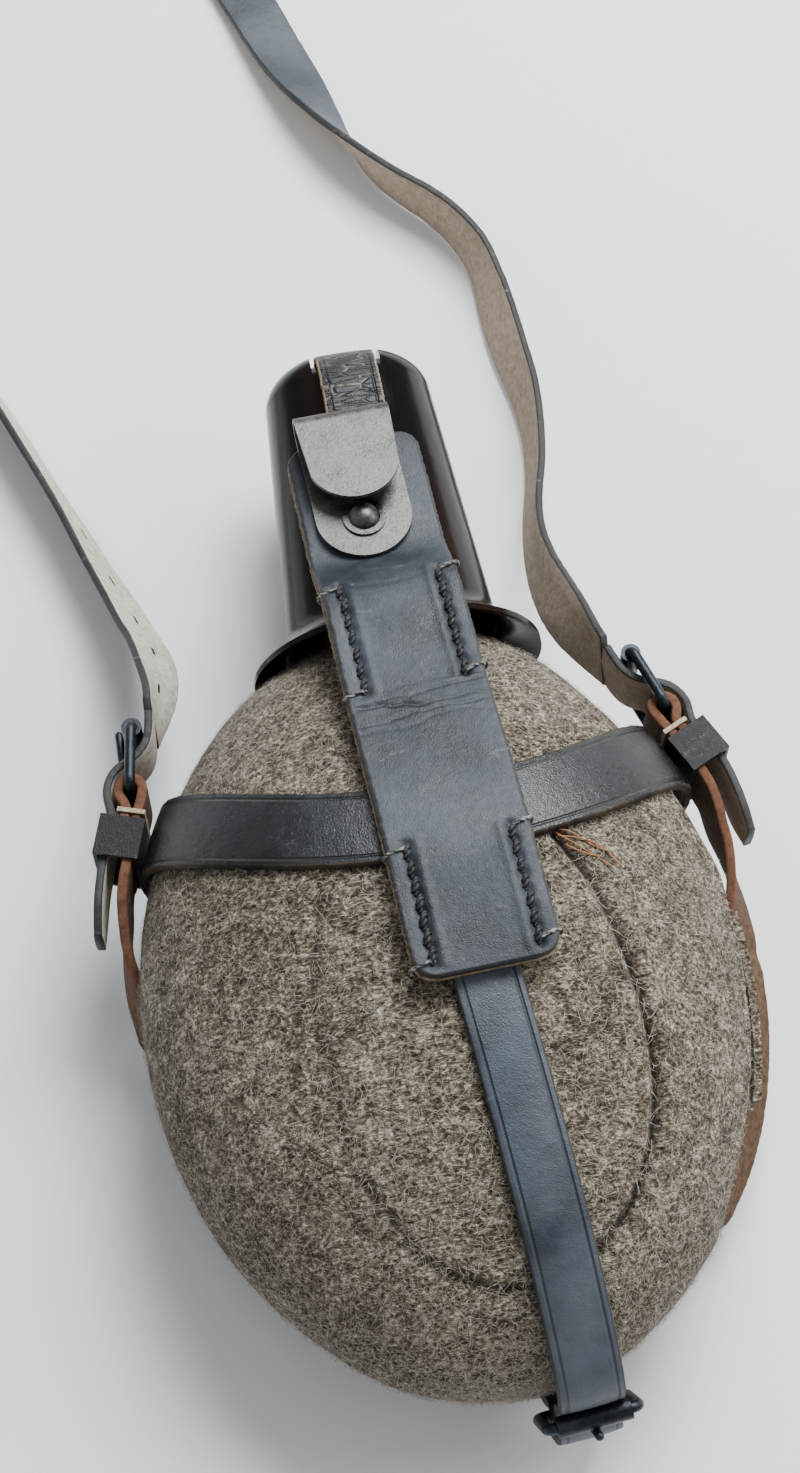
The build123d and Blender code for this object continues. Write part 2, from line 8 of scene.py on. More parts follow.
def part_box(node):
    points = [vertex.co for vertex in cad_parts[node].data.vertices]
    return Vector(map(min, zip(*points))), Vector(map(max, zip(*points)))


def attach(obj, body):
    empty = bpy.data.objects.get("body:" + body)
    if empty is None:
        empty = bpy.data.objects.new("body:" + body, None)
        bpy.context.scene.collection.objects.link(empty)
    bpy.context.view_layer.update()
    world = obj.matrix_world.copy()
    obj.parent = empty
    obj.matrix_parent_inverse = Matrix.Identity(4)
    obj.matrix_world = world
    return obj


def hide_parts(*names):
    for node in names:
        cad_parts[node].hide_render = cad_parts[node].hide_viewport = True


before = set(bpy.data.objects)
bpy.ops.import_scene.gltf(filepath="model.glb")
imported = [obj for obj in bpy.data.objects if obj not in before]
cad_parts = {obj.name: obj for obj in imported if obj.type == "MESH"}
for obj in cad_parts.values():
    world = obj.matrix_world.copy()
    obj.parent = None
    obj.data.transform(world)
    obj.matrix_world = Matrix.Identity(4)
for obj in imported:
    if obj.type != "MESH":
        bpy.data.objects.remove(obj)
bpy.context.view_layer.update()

# Everything below is in metres: x 0 is the bottle's neck axis, y 0 the felt's bottom and z 0 the ground.
CUP_END_Y = 0.285
cup_low, cup_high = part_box("cup")
ORIGIN = np.array([(cup_low[0] + cup_high[0]) / 2, cup_high[1] - CUP_END_Y, 0.0])
AXIS_Z = 0.041
BODY_Y = 0.1005
# The felt's half width, half height, and depth before and behind the bottle's axis.
FELT = FELT_WIDE, FELT_TALL, FELT_FRONT, FELT_BACK = 0.0755, 0.1005, 0.045, 0.039
FELT_SHIFT = -0.0035
FELT_FLAT = 0.0056


def at(x, y, z):
    return Vector((x + ORIGIN[0], y + ORIGIN[1], z + ORIGIN[2]))


# ------------------------------------------------------------------ camera

CAMERA_PLACE = (-0.0519, -0.1129, 0.6537)
CAMERA_RIGHT = (0.9856, -0.1688, 0.0)
CAMERA_UP = (0.1526, 0.891, 0.4275)
CAMERA_BACK = (-0.0722, -0.4213, 0.904)
FOCAL_PIXELS, IMAGE_PIXELS_TALL = 2600, 1473
SENSOR_MM = 24.0

camera = bpy.data.objects.new("camera", bpy.data.cameras.new("camera"))
bpy.context.scene.collection.objects.link(camera)
turned = Matrix((CAMERA_RIGHT, CAMERA_UP, CAMERA_BACK)).transposed().to_4x4()
camera.matrix_world = Matrix.Translation(at(*CAMERA_PLACE)) @ turned
camera.data.sensor_fit = "VERTICAL"
camera.data.sensor_height = SENSOR_MM
camera.data.lens = SENSOR_MM * FOCAL_PIXELS / IMAGE_PIXELS_TALL
camera.data.clip_end = 20
bpy.context.scene.camera = camera

# ------------------------------------------------------------------ materials

SCUFF_GREY = (0.20, 0.21, 0.21)
DUST_GREY = (0.13, 0.15, 0.17)
CRACK_TAN = (0.26, 0.235, 0.19)
CREASE_BLACK = (0.004, 0.004, 0.005)
RIM_TAN = (0.30, 0.24, 0.17)
# painted shade for the inside of the prong slits, which are not cut in the mesh
SLIT_SHADE = (0.02, 0.017, 0.013)
CREASE_INSET, CREASE_WIDE, RIM_WIDE = 0.0019, 0.0006, 0.0009
SLIT_PITCH, SLIT_HALF_LONG, SLIT_HALF_WIDE = 0.0185, 0.0020, 0.00055


class Finish:
    """A material, with short ways to add nodes to it."""

    TILT = (0.25, 0.35)

    def __init__(self, name, rough=0.5, metal=0.0, specular=0.5, coords="Object"):
        self.mat = bpy.data.materials.new(name)
        self.mat.use_nodes = True
        self.tree = self.mat.node_tree
        self.shader = self.tree.nodes["Principled BSDF"]
        self.wire(self.shader, **{"Roughness": rough, "Metallic": metal, "Specular IOR Level": specular})
        source = self.add("ShaderNodeTexCoord")
        self.object_place = source.outputs["Object"]
        self.place = source.outputs[coords]
        self.normal = None

    def add(self, kind, **values):
        node = self.tree.nodes.new(kind)
        for key, value in values.items():
            setattr(node, key, value)
        return node

    def feed(self, socket, value):
        """Links an input to an output, or sets its value."""
        if isinstance(value, bpy.types.NodeSocket):
            self.tree.links.new(value, socket)
        elif socket.type == "RGBA":
            socket.default_value = (*value, 1)
        else:
            socket.default_value = value

    def wire(self, node, **inputs):
        for name, value in inputs.items():
            self.feed(node.inputs[name], value)
        return node

    def scaled(self, place, x, y, z, turn=0.0):
        node = self.add("ShaderNodeMapping")
        return self.wire(node, Vector=place, Scale=(x, y, z), Rotation=(*self.TILT, turn)).outputs["Vector"]

    def noise(self, scale, detail=4.0, rough=0.6, place=None, distort=0.0):
        node = self.wire(self.add("ShaderNodeTexNoise"), Vector=self.place if place is None else place)
        return self.wire(node, Scale=scale, Detail=detail, Roughness=rough, Distortion=distort).outputs["Fac"]

    def cells(self, scale, place):
        """The distance to the edge of the nearest cell."""
        node = self.add("ShaderNodeTexVoronoi", feature="DISTANCE_TO_EDGE")
        return self.wire(node, Vector=place, Scale=scale).outputs["Distance"]

    def ramp(self, fac, *stops):
        node = self.wire(self.add("ShaderNodeValToRGB"), Fac=fac)
        elements = node.color_ramp.elements
        while len(elements) < len(stops):
            elements.new(0.5)
        for element, (where, colour) in zip(elements, stops):
            element.position = where
            element.color = (*colour, 1) if hasattr(colour, "__len__") else (colour, colour, colour, 1)
        return node.outputs["Color"]

    def step(self, fac, low, high, top=1.0):
        """0 below low, rising to top at high."""
        return self.ramp(fac, (low, 0.0), (high, top))

    def math(self, operation, a, b=0.0):
        node = self.add("ShaderNodeMath", operation=operation)
        self.feed(node.inputs[0], a)
        self.feed(node.inputs[1], b)
        return node.outputs[0]

    def times(self, a, b):
        return self.math("MULTIPLY", a, b)

    def plus(self, a, b):
        return self.math("ADD", a, b)

    def minus(self, a, b):
        return self.math("SUBTRACT", a, b)

    def size(self, a):
        return self.math("ABSOLUTE", a)

    def mix(self, fac, a, b, how="MIX"):
        node = self.add("ShaderNodeMix", data_type="RGBA", blend_type=how)
        for index, value in ((0, fac), (6, a), (7, b)):
            self.feed(node.inputs[index], value)
        return node.outputs[2]

    def split(self, place):
        return self.wire(self.add("ShaderNodeSeparateXYZ"), Vector=place).outputs

    def colour(self, value):
        self.tree.links.new(value, self.shader.inputs["Base Color"])

    def rough(self, value):
        self.tree.links.new(value, self.shader.inputs["Roughness"])

    def bump(self, height, distance, strength=1.0):
        """Adds to the bumps made so far."""
        node = self.wire(self.add("ShaderNodeBump"), Height=height, Distance=distance, Strength=strength)
        if self.normal is not None:
            self.tree.links.new(self.normal, node.inputs["Normal"])
        self.normal = node.outputs["Normal"]
        self.tree.links.new(self.normal, self.shader.inputs["Normal"])


def felt_finish():
    """Grey and brown wool, darkened to near black by a point attribute from the felt: the sewn line's own
    dark thread, with painted shade in its groove, along the left crease and under the lapped layer's edge.
    """
    f = Finish("felt", rough=0.95, specular=0.12)
    flecks = f.noise(900, 4, 0.7, distort=0.5)
    fibres = None
    for turn in (0.35, 1.4, 2.5):
        streak = f.noise(1.0, 2, 0.6, f.scaled(f.place, 420, 1900, 1900, turn), 0.9)
        fibres = streak if fibres is None else f.math("MAXIMUM", fibres, streak)
    clumps = f.noise(230, 3, 0.6)
    tone = f.plus(f.times(flecks, 0.45), f.times(clumps, 0.20))
    tone = f.plus(tone, f.times(fibres, 0.50))
    base = f.ramp(
        tone,
        (0.50, (0.010, 0.008, 0.0055)),
        (0.57, (0.058, 0.046, 0.032)),
        (0.645, (0.175, 0.148, 0.108)),
        (0.74, (0.56, 0.51, 0.41)),
    )
    warm = f.mix(f.step(f.noise(34, 3), 0.40, 0.72, 0.5), base, (0.13, 0.09, 0.05), "SOFT_LIGHT")
    # The felt's point attribute carries the sewn line's dark plus painted shade in its groove, the left
    # crease and under the lapped edge.
    seam_and_shade = f.add("ShaderNodeAttribute", attribute_name="seam_and_shade").outputs["Fac"]
    f.colour(f.mix(seam_and_shade, warm, (0.005, 0.003, 0.002)))
    f.bump(tone, 0.0011, 0.9)
    f.bump(f.noise(160, 3), 0.0010, 0.4)
    f.wire(f.shader, **{"Sheen Weight": 0.06, "Sheen Roughness": 0.5})
    return f.mat


def grain_finish(name, dark, light, rough, half=0.0, crack=0.0, wear=0.35, dust=0.0, crease=True, shine=0.5):
    """Blackened leather's grain side. half is the strap's half width, where its edges are worn or creased."""
    f = Finish(name, rough=rough, specular=shine, coords="UV" if half else "Object")
    patches = f.noise(70, 5, 0.65, f.object_place)
    fine = f.noise(600, 4, 0.6, f.object_place)
    mixed = f.mix(f.step(patches, 0.38, 0.68), dark, light)
    pores = f.cells(1500, f.object_place)
    colour = f.mix(f.times(fine, 0.35), mixed, dark)
    scuffs = f.step(f.noise(240, 6, 0.8, f.scaled(f.object_place, 0.35, 1, 1, 0.5), 1.2), 0.60, 0.72)
    colour = f.mix(f.times(scuffs, wear), colour, SCUFF_GREY)
    if dust:
        cloud = f.step(f.noise(26, 4, 0.6, f.object_place), 0.42, 0.7)
        colour = f.mix(f.times(cloud, dust), colour, DUST_GREY)
    f.bump(pores, 0.00018, 0.6)
    f.bump(f.noise(420, 5, 0.75, f.object_place), 0.0004, 0.6)
    if half:
        _, across, _ = f.split(f.place)
        edge = f.size(across)
        if crack:
            cuts = f.cells(1.0, f.scaled(f.place, 640, 130, 1))
            line = f.ramp(cuts, (0.0, 1.0), (0.045, 0.0))
            broken = f.times(line, f.step(f.noise(120, 4, 0.7), 0.42, 0.52))
            colour = f.mix(f.times(broken, crack), colour, CRACK_TAN)
            f.bump(f.step(cuts, 0.0, 0.12), 0.0005, 0.8)
        if crease:
            gap = f.size(f.minus(edge, half - CREASE_INSET))
            f.bump(f.step(f.math("DIVIDE", gap, CREASE_WIDE), 0.15, 0.9), 0.0005, 0.9)
            shade = f.ramp(f.math("DIVIDE", gap, CREASE_WIDE), (0.1, 0.55), (0.8, 0.0))
            colour = f.mix(shade, colour, CREASE_BLACK)
        rim = f.minus(edge, half - RIM_WIDE)
        worn = f.plus(f.times(rim, 900.0), f.times(f.minus(f.noise(380, 5, 0.8), 0.62), 3.4))
        colour = f.mix(f.step(worn, 0.42, 0.62), colour, RIM_TAN)
    f.colour(colour)
    dullness = f.plus(f.times(patches, 0.6), f.times(fine, 0.4))
    f.rough(f.ramp(dullness, (0.3, rough - 0.10), (0.7, rough + 0.14)))
    return f.mat


def flesh_finish(name, base, dark, stain=0.35, slits=None):
    """The undyed fuzzy side of a strap. slits gives the first and last place of its prong slits along it,
    where painted shade stands in for the shaded slit openings.
    """
    f = Finish(name, rough=0.9, specular=0.15)
    colour = f.mix(f.step(f.noise(500, 6, 0.8), 0.35, 0.7), dark, base)
    colour = f.mix(f.times(f.step(f.noise(55, 4, 0.7), 0.42, 0.75), stain), colour, dark)
    # Painted shade: near-black slits stand in for the shaded openings of the prong slits.
    if slits:
        along, across, _ = f.split(f.add("ShaderNodeTexCoord").outputs["UV"])
        turn = f.math("FRACT", f.math("DIVIDE", along, SLIT_PITCH))
        close = f.math("LESS_THAN", f.size(f.minus(turn, 0.5)), SLIT_HALF_LONG / SLIT_PITCH)
        thin = f.math("LESS_THAN", f.size(across), SLIT_HALF_WIDE)
        inside = f.times(f.math("GREATER_THAN", along, slits[0]), f.math("LESS_THAN", along, slits[1]))
        colour = f.mix(f.times(f.times(close, thin), inside), colour, SLIT_SHADE)
    f.colour(colour)
    f.bump(f.noise(900, 5, 0.8), 0.0004, 0.7)
    f.bump(f.noise(150, 4, 0.7), 0.0005, 0.4)
    return f.mat


def cup_finish():
    """Glossy moulded black, a little brown in random streaks."""
    f = Finish("moulded_black", rough=0.22, specular=0.14)
    tone = f.noise(24, 4, 0.6, f.scaled(f.place, 1, 0.25, 1))
    f.colour(f.ramp(tone, (0.40, (0.0020, 0.0016, 0.0015)), (0.72, (0.016, 0.0065, 0.003))))
    marks = f.noise(900, 3, 0.6, f.scaled(f.place, 1, 0.12, 1))
    dullness = f.plus(f.times(marks, 0.5), f.times(f.noise(60, 5, 0.7), 0.5))
    f.rough(f.ramp(dullness, (0.35, 0.10), (0.7, 0.30)))
    f.bump(f.noise(130, 3, 0.5), 0.0002, 0.25)
    f.bump(marks, 0.00004, 0.5)
    return f.mat


def steel_finish(name, dark, light, rough, metal=1.0, pits=0.5):
    f = Finish(name, rough=rough, metal=metal)
    cloud = f.noise(130, 6, 0.7)
    speck = f.noise(1300, 4, 0.7)
    f.colour(f.mix(f.step(f.plus(f.times(cloud, 0.65), f.times(speck, 0.35)), 0.38, 0.62), dark, light))
    f.rough(f.ramp(cloud, (0.3, rough - 0.08), (0.7, rough + 0.14)))
    f.bump(speck, 0.00015, pits)
    f.bump(cloud, 0.0003, 0.3)
    return f.mat


def thread_finish(name, colour, worn):
    f = Finish(name, rough=0.6, specular=0.4)
    f.colour(f.mix(f.step(f.noise(900, 4, 0.7), 0.45, 0.75), colour, worn))
    f.bump(f.noise(1500, 3), 0.0002, 0.6)
    return f.mat


def plain_finish(name, colour, other, rough, metal=0.0):
    f = Finish(name, rough=rough, metal=metal)
    f.colour(f.mix(f.noise(200, 4), colour, other))
    f.bump(f.noise(500, 3), 0.0001, 0.3)
    return f.mat


PAD_HALF, STRAP_HALF, NARROW_HALF, BAND_HALF = 0.0175, 0.0085, 0.008, 0.010

FELT_MAT = felt_finish()
PAD_MAT = grain_finish(
    "pad_grain", (0.005, 0.0075, 0.011), (0.019, 0.028, 0.039), 0.50,
    half=PAD_HALF, wear=0.28, dust=0.35, crease=False, shine=0.45,
)
FRONT_MAT = grain_finish(
    "front_strap_grain", (0.012, 0.018, 0.027), (0.036, 0.054, 0.076), 0.46,
    half=NARROW_HALF, wear=0.28, dust=0.4,
)
BAND_MAT = grain_finish(
    "band_grain", (0.0016, 0.002, 0.0028), (0.006, 0.0075, 0.010), 0.27,
    half=BAND_HALF, wear=0.18, dust=0.08,
)
OVER_MAT = grain_finish(
    "overhead_grain", (0.004, 0.005, 0.006), (0.012, 0.014, 0.016), 0.38,
    half=NARROW_HALF, crack=0.8, wear=0.3,
)
SHOULDER_MAT = grain_finish(
    "shoulder_grain", (0.018, 0.024, 0.030), (0.042, 0.055, 0.066), 0.5,
    half=STRAP_HALF, wear=0.3, dust=0.4, crease=False,
)
BLACK_MAT = grain_finish(
    "harness_leather", (0.004, 0.0045, 0.005), (0.012, 0.012, 0.012), 0.5, wear=0.5, shine=0.25
)
EDGE_DARK = grain_finish("dyed_edge", (0.008, 0.009, 0.011), (0.035, 0.032, 0.028), 0.6, wear=0.8)
EDGE_WORN = grain_finish("worn_edge", (0.012, 0.010, 0.008), (0.09, 0.07, 0.045), 0.7, wear=1.0, shine=0.2)
EDGE_RAW = flesh_finish("raw_edge", (0.46, 0.34, 0.22), (0.10, 0.065, 0.04))
FLESH_TAN = flesh_finish("flesh_tan", (0.47, 0.385, 0.29), (0.25, 0.19, 0.135))
FLESH_PALE = flesh_finish("flesh_pale", (0.78, 0.745, 0.66), (0.36, 0.32, 0.25), 0.45, slits=(0.870, 0.955))
SLING_MAT = flesh_finish("sling_brown", (0.17, 0.10, 0.06), (0.05, 0.028, 0.018))
SLING_EDGE = flesh_finish("sling_edge", (0.22, 0.105, 0.06), (0.08, 0.036, 0.022))
CUP_MAT = cup_finish()
HOOK_MAT = steel_finish("hook_steel", (0.060, 0.062, 0.056), (0.165, 0.165, 0.148), 0.44)
STUD_MAT = steel_finish("stud_steel", (0.035, 0.035, 0.035), (0.14, 0.14, 0.13), 0.38)
BUCKLE_MAT = steel_finish("blued_steel", (0.012, 0.014, 0.017), (0.035, 0.043, 0.052), 0.36, 0.8, 0.8)
THREAD_MAT = thread_finish("black_thread", (0.004, 0.004, 0.005), (0.05, 0.055, 0.06))
WORN_MAT = thread_finish("worn_thread", (0.06, 0.06, 0.055), (0.52, 0.50, 0.44))
TIE_MAT = thread_finish("tie_thread", (0.30, 0.22, 0.13), (0.6, 0.52, 0.38))
ORANGE_MAT = thread_finish("loose_thread", (0.24, 0.10, 0.03), (0.40, 0.20, 0.08))
FIBRE_MAT = thread_finish("felt_fibre", (0.20, 0.17, 0.13), (0.62, 0.57, 0.48))
BOTTLE_MAT = plain_finish("bottle_metal", (0.62, 0.62, 0.63), (0.72, 0.72, 0.72), 0.35, 1.0)
CAP_MAT = plain_finish("cap_black", (0.012, 0.012, 0.012), (0.03, 0.03, 0.03), 0.35)
SEAL_MAT = plain_finish("seal_rubber", (0.20, 0.05, 0.03), (0.28, 0.08, 0.05), 0.7)

# ------------------------------------------------------------------ curves and meshes

GRAIN, EDGE, FLESH = 0, 1, 2
CORNER = 0.29
SOFT_SEGMENTS, SOFT_ANGLE = 2, radians(50)


def travel(points):
    """The length of a line up to each of its points."""
    return np.r_[0, np.cumsum(np.linalg.norm(np.diff(points, axis=0), axis=1))]


def through(points, count):
    """count points, evenly spaced, of the smooth curve through some points."""
    p = np.array(points, float)
    d = travel(p)
    m, h = len(p), np.diff(d)
    a, b = np.eye(m), np.zeros_like(p)
    for i in range(1, m - 1):
        a[i, i - 1 : i + 2] = h[i - 1], 2 * (h[i - 1] + h[i]), h[i]
        b[i] = 6 * ((p[i + 1] - p[i]) / h[i] - (p[i] - p[i - 1]) / h[i - 1])
    bend = np.linalg.solve(a, b)
    s = np.linspace(0, d[-1], 8 * count)
    k = np.clip(np.searchsorted(d, s, side="right") - 1, 0, m - 2)
    left, gone, run = (d[k + 1] - s)[:, None], (s - d[k])[:, None], h[k][:, None]
    curve = (bend[k] * left**3 + bend[k + 1] * gone**3) / (6 * run)
    curve += (p[k] / run - bend[k] * run / 6) * left + (p[k + 1] / run - bend[k + 1] * run / 6) * gone
    return even(curve, count)


def even(curve, count):
    """The same line with count evenly spaced points."""
    d = travel(curve)
    s = np.linspace(0, d[-1], count)
    return np.stack([np.interp(s, d, curve[:, i]) for i in range(curve.shape[1])], 1)


def unit(v):
    return v / np.maximum(np.linalg.norm(v, axis=-1, keepdims=True), 1e-12)


def fade(distance, run):
    """0 up to 1 over a run."""
    return np.clip(distance / run, 0, 1)


def bell(distance, wide):
    return np.exp(-((distance / wide) ** 2))


def ripple(points, scale, seed=0.0):
    """Smooth noise at some points."""
    return np.array([noise.noise(Vector((p[0] * scale + seed, p[1] * scale, p[2] * scale))) for p in points])


def make(name, verts, faces, mats, body="canteen", slots=None, uv=None):
    """A mesh object from arrays, riding on a body. uv has one pair for each vertex."""
    mesh = bpy.data.meshes.new(name)
    mesh.from_pydata((np.asarray(verts, float) + ORIGIN).tolist(), [], [list(map(int, f)) for f in faces])
    for mat in mats:
        mesh.materials.append(mat)
    if slots is not None:
        mesh.polygons.foreach_set("material_index", np.asarray(slots, np.int32))
    if uv is not None:
        layer = mesh.uv_layers.new(name="UVMap")
        index = np.empty(len(mesh.loops), np.int32)
        mesh.loops.foreach_get("vertex_index", index)
        layer.data.foreach_set("uv", np.asarray(uv, np.float32)[index].ravel())
    mesh.polygons.foreach_set("use_smooth", [True] * len(mesh.polygons))
    mesh.update()
    obj = bpy.data.objects.new(name, mesh)
    bpy.context.scene.collection.objects.link(obj)
    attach(obj, body)
    return obj


def wall(rows, columns, closed=False):
    """Quads between rings of points, each ring one row. closed joins the last row to the first."""
    i = np.arange(rows if closed else rows - 1)[:, None]
    j = np.arange(columns)[None, :]
    after, beside = (i + 1) % rows, (j + 1) % columns
    corners = [i * columns + j, i * columns + beside, after * columns + beside, after * columns + j]
    return np.stack(corners, -1).reshape(-1, 4)


def strap_section(across, rim):
    """A strap's outline: place across, reach past the flat, place through the thickness, and kind of face."""
    corner = rim * (1 - CORNER)
    grain = [(-1 + 2 * k / (across - 1), 0, 1, GRAIN) for k in range(across)]
    right = [(1, corner, 1, EDGE), (1, rim, 0.5, EDGE), (1, rim, -0.5, EDGE), (1, corner, -1, EDGE)]
    flesh = [(1 - 2 * k / 4, 0, -1, FLESH) for k in range(5)]
    left = [(-1, out, -b, EDGE) for _, out, b, _ in right]
    return grain + right + flesh + left


def ribbon(
    name, line, side, half, thick, mats,
    body="canteen", across=13, crown=0.0002, rim=0.0005, lift=None, closed=False, fray=0.00012,
):
    """A strap along a centre line. side is its width's direction, and its grain faces the way ahead x side.

    crown domes the grain, lift adds a height at (line, place across), and fray roughens both edges.
    """
    line = np.asarray(line, float)
    n = len(line)
    ahead = unit(np.roll(line, -1, 0) - np.roll(line, 1, 0) if closed else np.gradient(line, axis=0))
    side = np.broadcast_to(np.asarray(side, float), line.shape)
    side = unit(side - ahead * (side * ahead).sum(1, keepdims=True))
    face = np.cross(ahead, side)
    half = np.broadcast_to(np.asarray(half, float), (n,))
    rim = min(rim, thick * 0.49)
    s = travel(line)
    section = strap_section(across, rim)
    right_reach = half + fray * ripple(line, 900, 3.1)
    left_reach = half + fray * ripple(line, 900, 8.7)
    columns, uvs = [], []
    for a, out, b, kind in section:
        reach = right_reach if a > 0 else left_reach
        x = a * (reach - rim) + np.sign(a) * out
        h = np.full(n, b * thick / 2)
        if kind == GRAIN:
            h = h + crown * (1 - a * a)
            if lift is not None:
                h = h + lift(line, x)
        elif kind == EDGE and abs(b) == 1:
            h = h - np.sign(b) * rim * CORNER
        columns.append(line + side * x[:, None] + face * h[:, None])
        uvs.append(np.stack([s, x], 1))
    m = len(section)
    faces = wall(n, m, closed)[:, [0, 3, 2, 1]].tolist()
    kinds = np.array([kind for *_, kind in section])
    strips = np.where(kinds == np.roll(kinds, -1), kinds, EDGE)
    slots = np.tile(strips, len(faces) // m).tolist()
    if not closed:
        faces += [list(range(m)), [(n - 1) * m + k for k in range(m)][::-1]]
        slots += [EDGE, EDGE]
    verts, uv = np.stack(columns, 1).reshape(-1, 3), np.stack(uvs, 1).reshape(-1, 2)
    return make(name, verts, faces, mats, body, slots, uv)


def side_view(points):
    """(y, z) points as points of the plane x 0."""
    p = np.array(points, float)
    return np.stack([np.zeros(len(p)), p[:, 0], p[:, 1]], 1)


def tube(path, radius, around):
    """Vertices and faces of a round thread along a path, closed at its ends."""
    n = len(path)
    ahead = unit(np.gradient(path, axis=0))
    a = unit(np.cross(ahead, np.array([0.31, 0.17, 0.93])))
    b = np.cross(ahead, a)
    turn = np.arange(around) * 2 * pi / around
    ring = a[:, None] * np.cos(turn)[None, :, None] + b[:, None] * np.sin(turn)[None, :, None]
    verts = (path[:, None] + ring * radius).reshape(-1, 3)
    ends = [list(range(around))[::-1], [(n - 1) * around + k for k in range(around)]]
    return verts, wall(n, around).tolist() + ends


def join(shapes):
    """Several (vertices, faces) as one."""
    verts, faces, base = [], [], 0
    for v, f in shapes:
        verts.append(v)
        faces += [[k + base for k in face] for face in f]
        base += len(v)
    return np.concatenate(verts), faces


def paint(node, mat, bevel=0.0):
    """A CAD node keeps its shape, and takes a material and softened edges."""
    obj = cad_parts[node]
    obj.data.materials.clear()
    obj.data.materials.append(mat)
    if bevel:
        soft = obj.modifiers.new("soft_edges", "BEVEL")
        soft.width, soft.segments, soft.limit_method = bevel, SOFT_SEGMENTS, "ANGLE"
        soft.angle_limit = SOFT_ANGLE


# ------------------------------------------------------------------ shoulder strap, the free cord

STRAP_THICK = 0.0021
STRAP_POINTS = 620
ROUTE_STEPS = 12
LEAN_BLUR = 25
PALE_FROM_X = -0.045

# (x, y, z, lean): lean is how far the strap's width has turned up from its left, in degrees.
ROUTE = [
    (0.0538, 0.1846, 0.0430, 92),
    (0.0468, 0.2044, 0.0345, 122),
    (0.0445, 0.2360, 0.0165, 100),
    (0.0560, 0.2770, 0.0094, 102),
    (0.0515, 0.3180, 0.0090, 118),
    (0.0490, 0.3520, 0.0095, 96),
    (0.0200, 0.3810, 0.0098, 80),
    (0.0050, 0.4210, 0.0052, 18),
    (-0.0060, 0.4630, 0.0020, 3),
    (-0.0240, 0.5140, 0.0050, 30),
    (-0.0660, 0.5710, 0.0090, 75),
    (-0.1320, 0.5900, 0.0094, 90),
    (-0.1900, 0.5560, 0.0094, 90),
    (-0.2080, 0.4920, 0.0094, 92),
    (-0.1800, 0.4320, 0.0094, 96),
    (-0.1320, 0.3780, 0.0094, 100),
    (-0.1030, 0.3250, 0.0092, 107),
    (-0.0840, 0.2780, 0.0092, 107),
    (-0.0700, 0.2380, 0.0110, 122),
    (-0.0611, 0.2066, 0.0330, 128),
    (-0.0665, 0.1862, 0.0430, 92),
]


def nurbs_points(route):
    """The points of the quadratic NURBS curve that a route controls."""
    curve = bpy.data.curves.new("shoulder_route", "CURVE")
    curve.dimensions = "3D"
    line = curve.splines.new("NURBS")
    line.points.add(len(route) - 1)
    for point, (x, y, z, _) in zip(line.points, route):
        point.co = (*at(x, y, z), 1)
    line.order_u = 3
    line.use_endpoint_u = True
    curve.resolution_u = ROUTE_STEPS
    holder = bpy.data.objects.new("shoulder_route", curve)
    mesh = bpy.data.meshes.new_from_object(holder)
    points = np.array([v.co[:] for v in mesh.vertices]) - ORIGIN
    bpy.data.objects.remove(holder)
    bpy.data.meshes.remove(mesh)
    return points


def shoulder_strap():
    line = nurbs_points(ROUTE)
    if np.linalg.norm(line[0] - np.array(ROUTE[0][:3])) > 0.001:
        line = line[::-1]
    n, count = len(ROUTE), STRAP_POINTS
    where = np.linspace(0, n - 2, len(line))
    stations = np.clip(np.arange(n) - 0.5, 0, n - 2)
    lean = np.radians(np.interp(where, stations, [p[3] for p in ROUTE]))
    d = travel(line)
    length = d[-1]
    fine = even(line, count)
    lean = np.interp(np.linspace(0, length, count), d, lean)
    kernel = np.hanning(LEAN_BLUR) / np.hanning(LEAN_BLUR).sum()
    lean = np.convolve(np.pad(lean, LEAN_BLUR // 2, mode="edge"), kernel, mode="valid")
    ahead = unit(np.gradient(fine, axis=0))
    left = unit(np.stack([-ahead[:, 1], ahead[:, 0], np.zeros(count)], 1))
    upward = np.cross(ahead, left)
    upward *= np.sign(upward[:, 2:3])
    side = left * np.cos(lean)[:, None] + upward * np.sin(lean)[:, None]
    face = np.cross(ahead, side)
    from_ends = np.minimum(np.linspace(0, 40, count), np.linspace(40, 0, count))
    wave = 0.0007 * ripple(fine, 34, 1.3) * np.clip(from_ends, 0, 1)
    middle = fine + face * wave[:, None]
    mats = [SHOULDER_MAT, EDGE_DARK, FLESH_TAN]
    obj = ribbon(
        "shoulder_strap_visual", middle, side, STRAP_HALF, STRAP_THICK, mats, across=11, fray=0.0002
    )
    obj.data.materials.append(FLESH_PALE)
    for polygon in obj.data.polygons:
        if polygon.material_index == FLESH and polygon.center[0] - ORIGIN[0] < PALE_FROM_X:
            polygon.material_index = len(mats)
    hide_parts("shoulder_strap")


shoulder_strap()

# ------------------------------------------------------------------ felt cover

FELT_ROWS, FELT_UPPER, FELT_LOWER = 340, 340, 80
DENT_DEEP, PILLOW_HIGH, FOLD_DEEP, LAP_DEEP, LIP_HIGH = 0.0026, 0.0010, 0.0004, 0.0024, 0.0007
FIBRES, QUICK_FIBRES = 22000, 3000
FIBRE_HALF_WIDE = 0.00005

# The sewn oval and the long crease on the left, as (x, y) in millimetres.
SEAM = [
    (26, 123), (33, 108), (37, 91), (39, 73), (38, 57), (33, 43), (22, 28), (1, 19), (-9, 20), (-15, 23),
    (-23, 29), (-28, 38), (-35, 50), (-36, 63), (-37, 75), (-37, 96), (-31, 119),
]
RIDGE = [(-70, 117), (-73, 101), (-73, 87), (-72, 75), (-71, 63)]


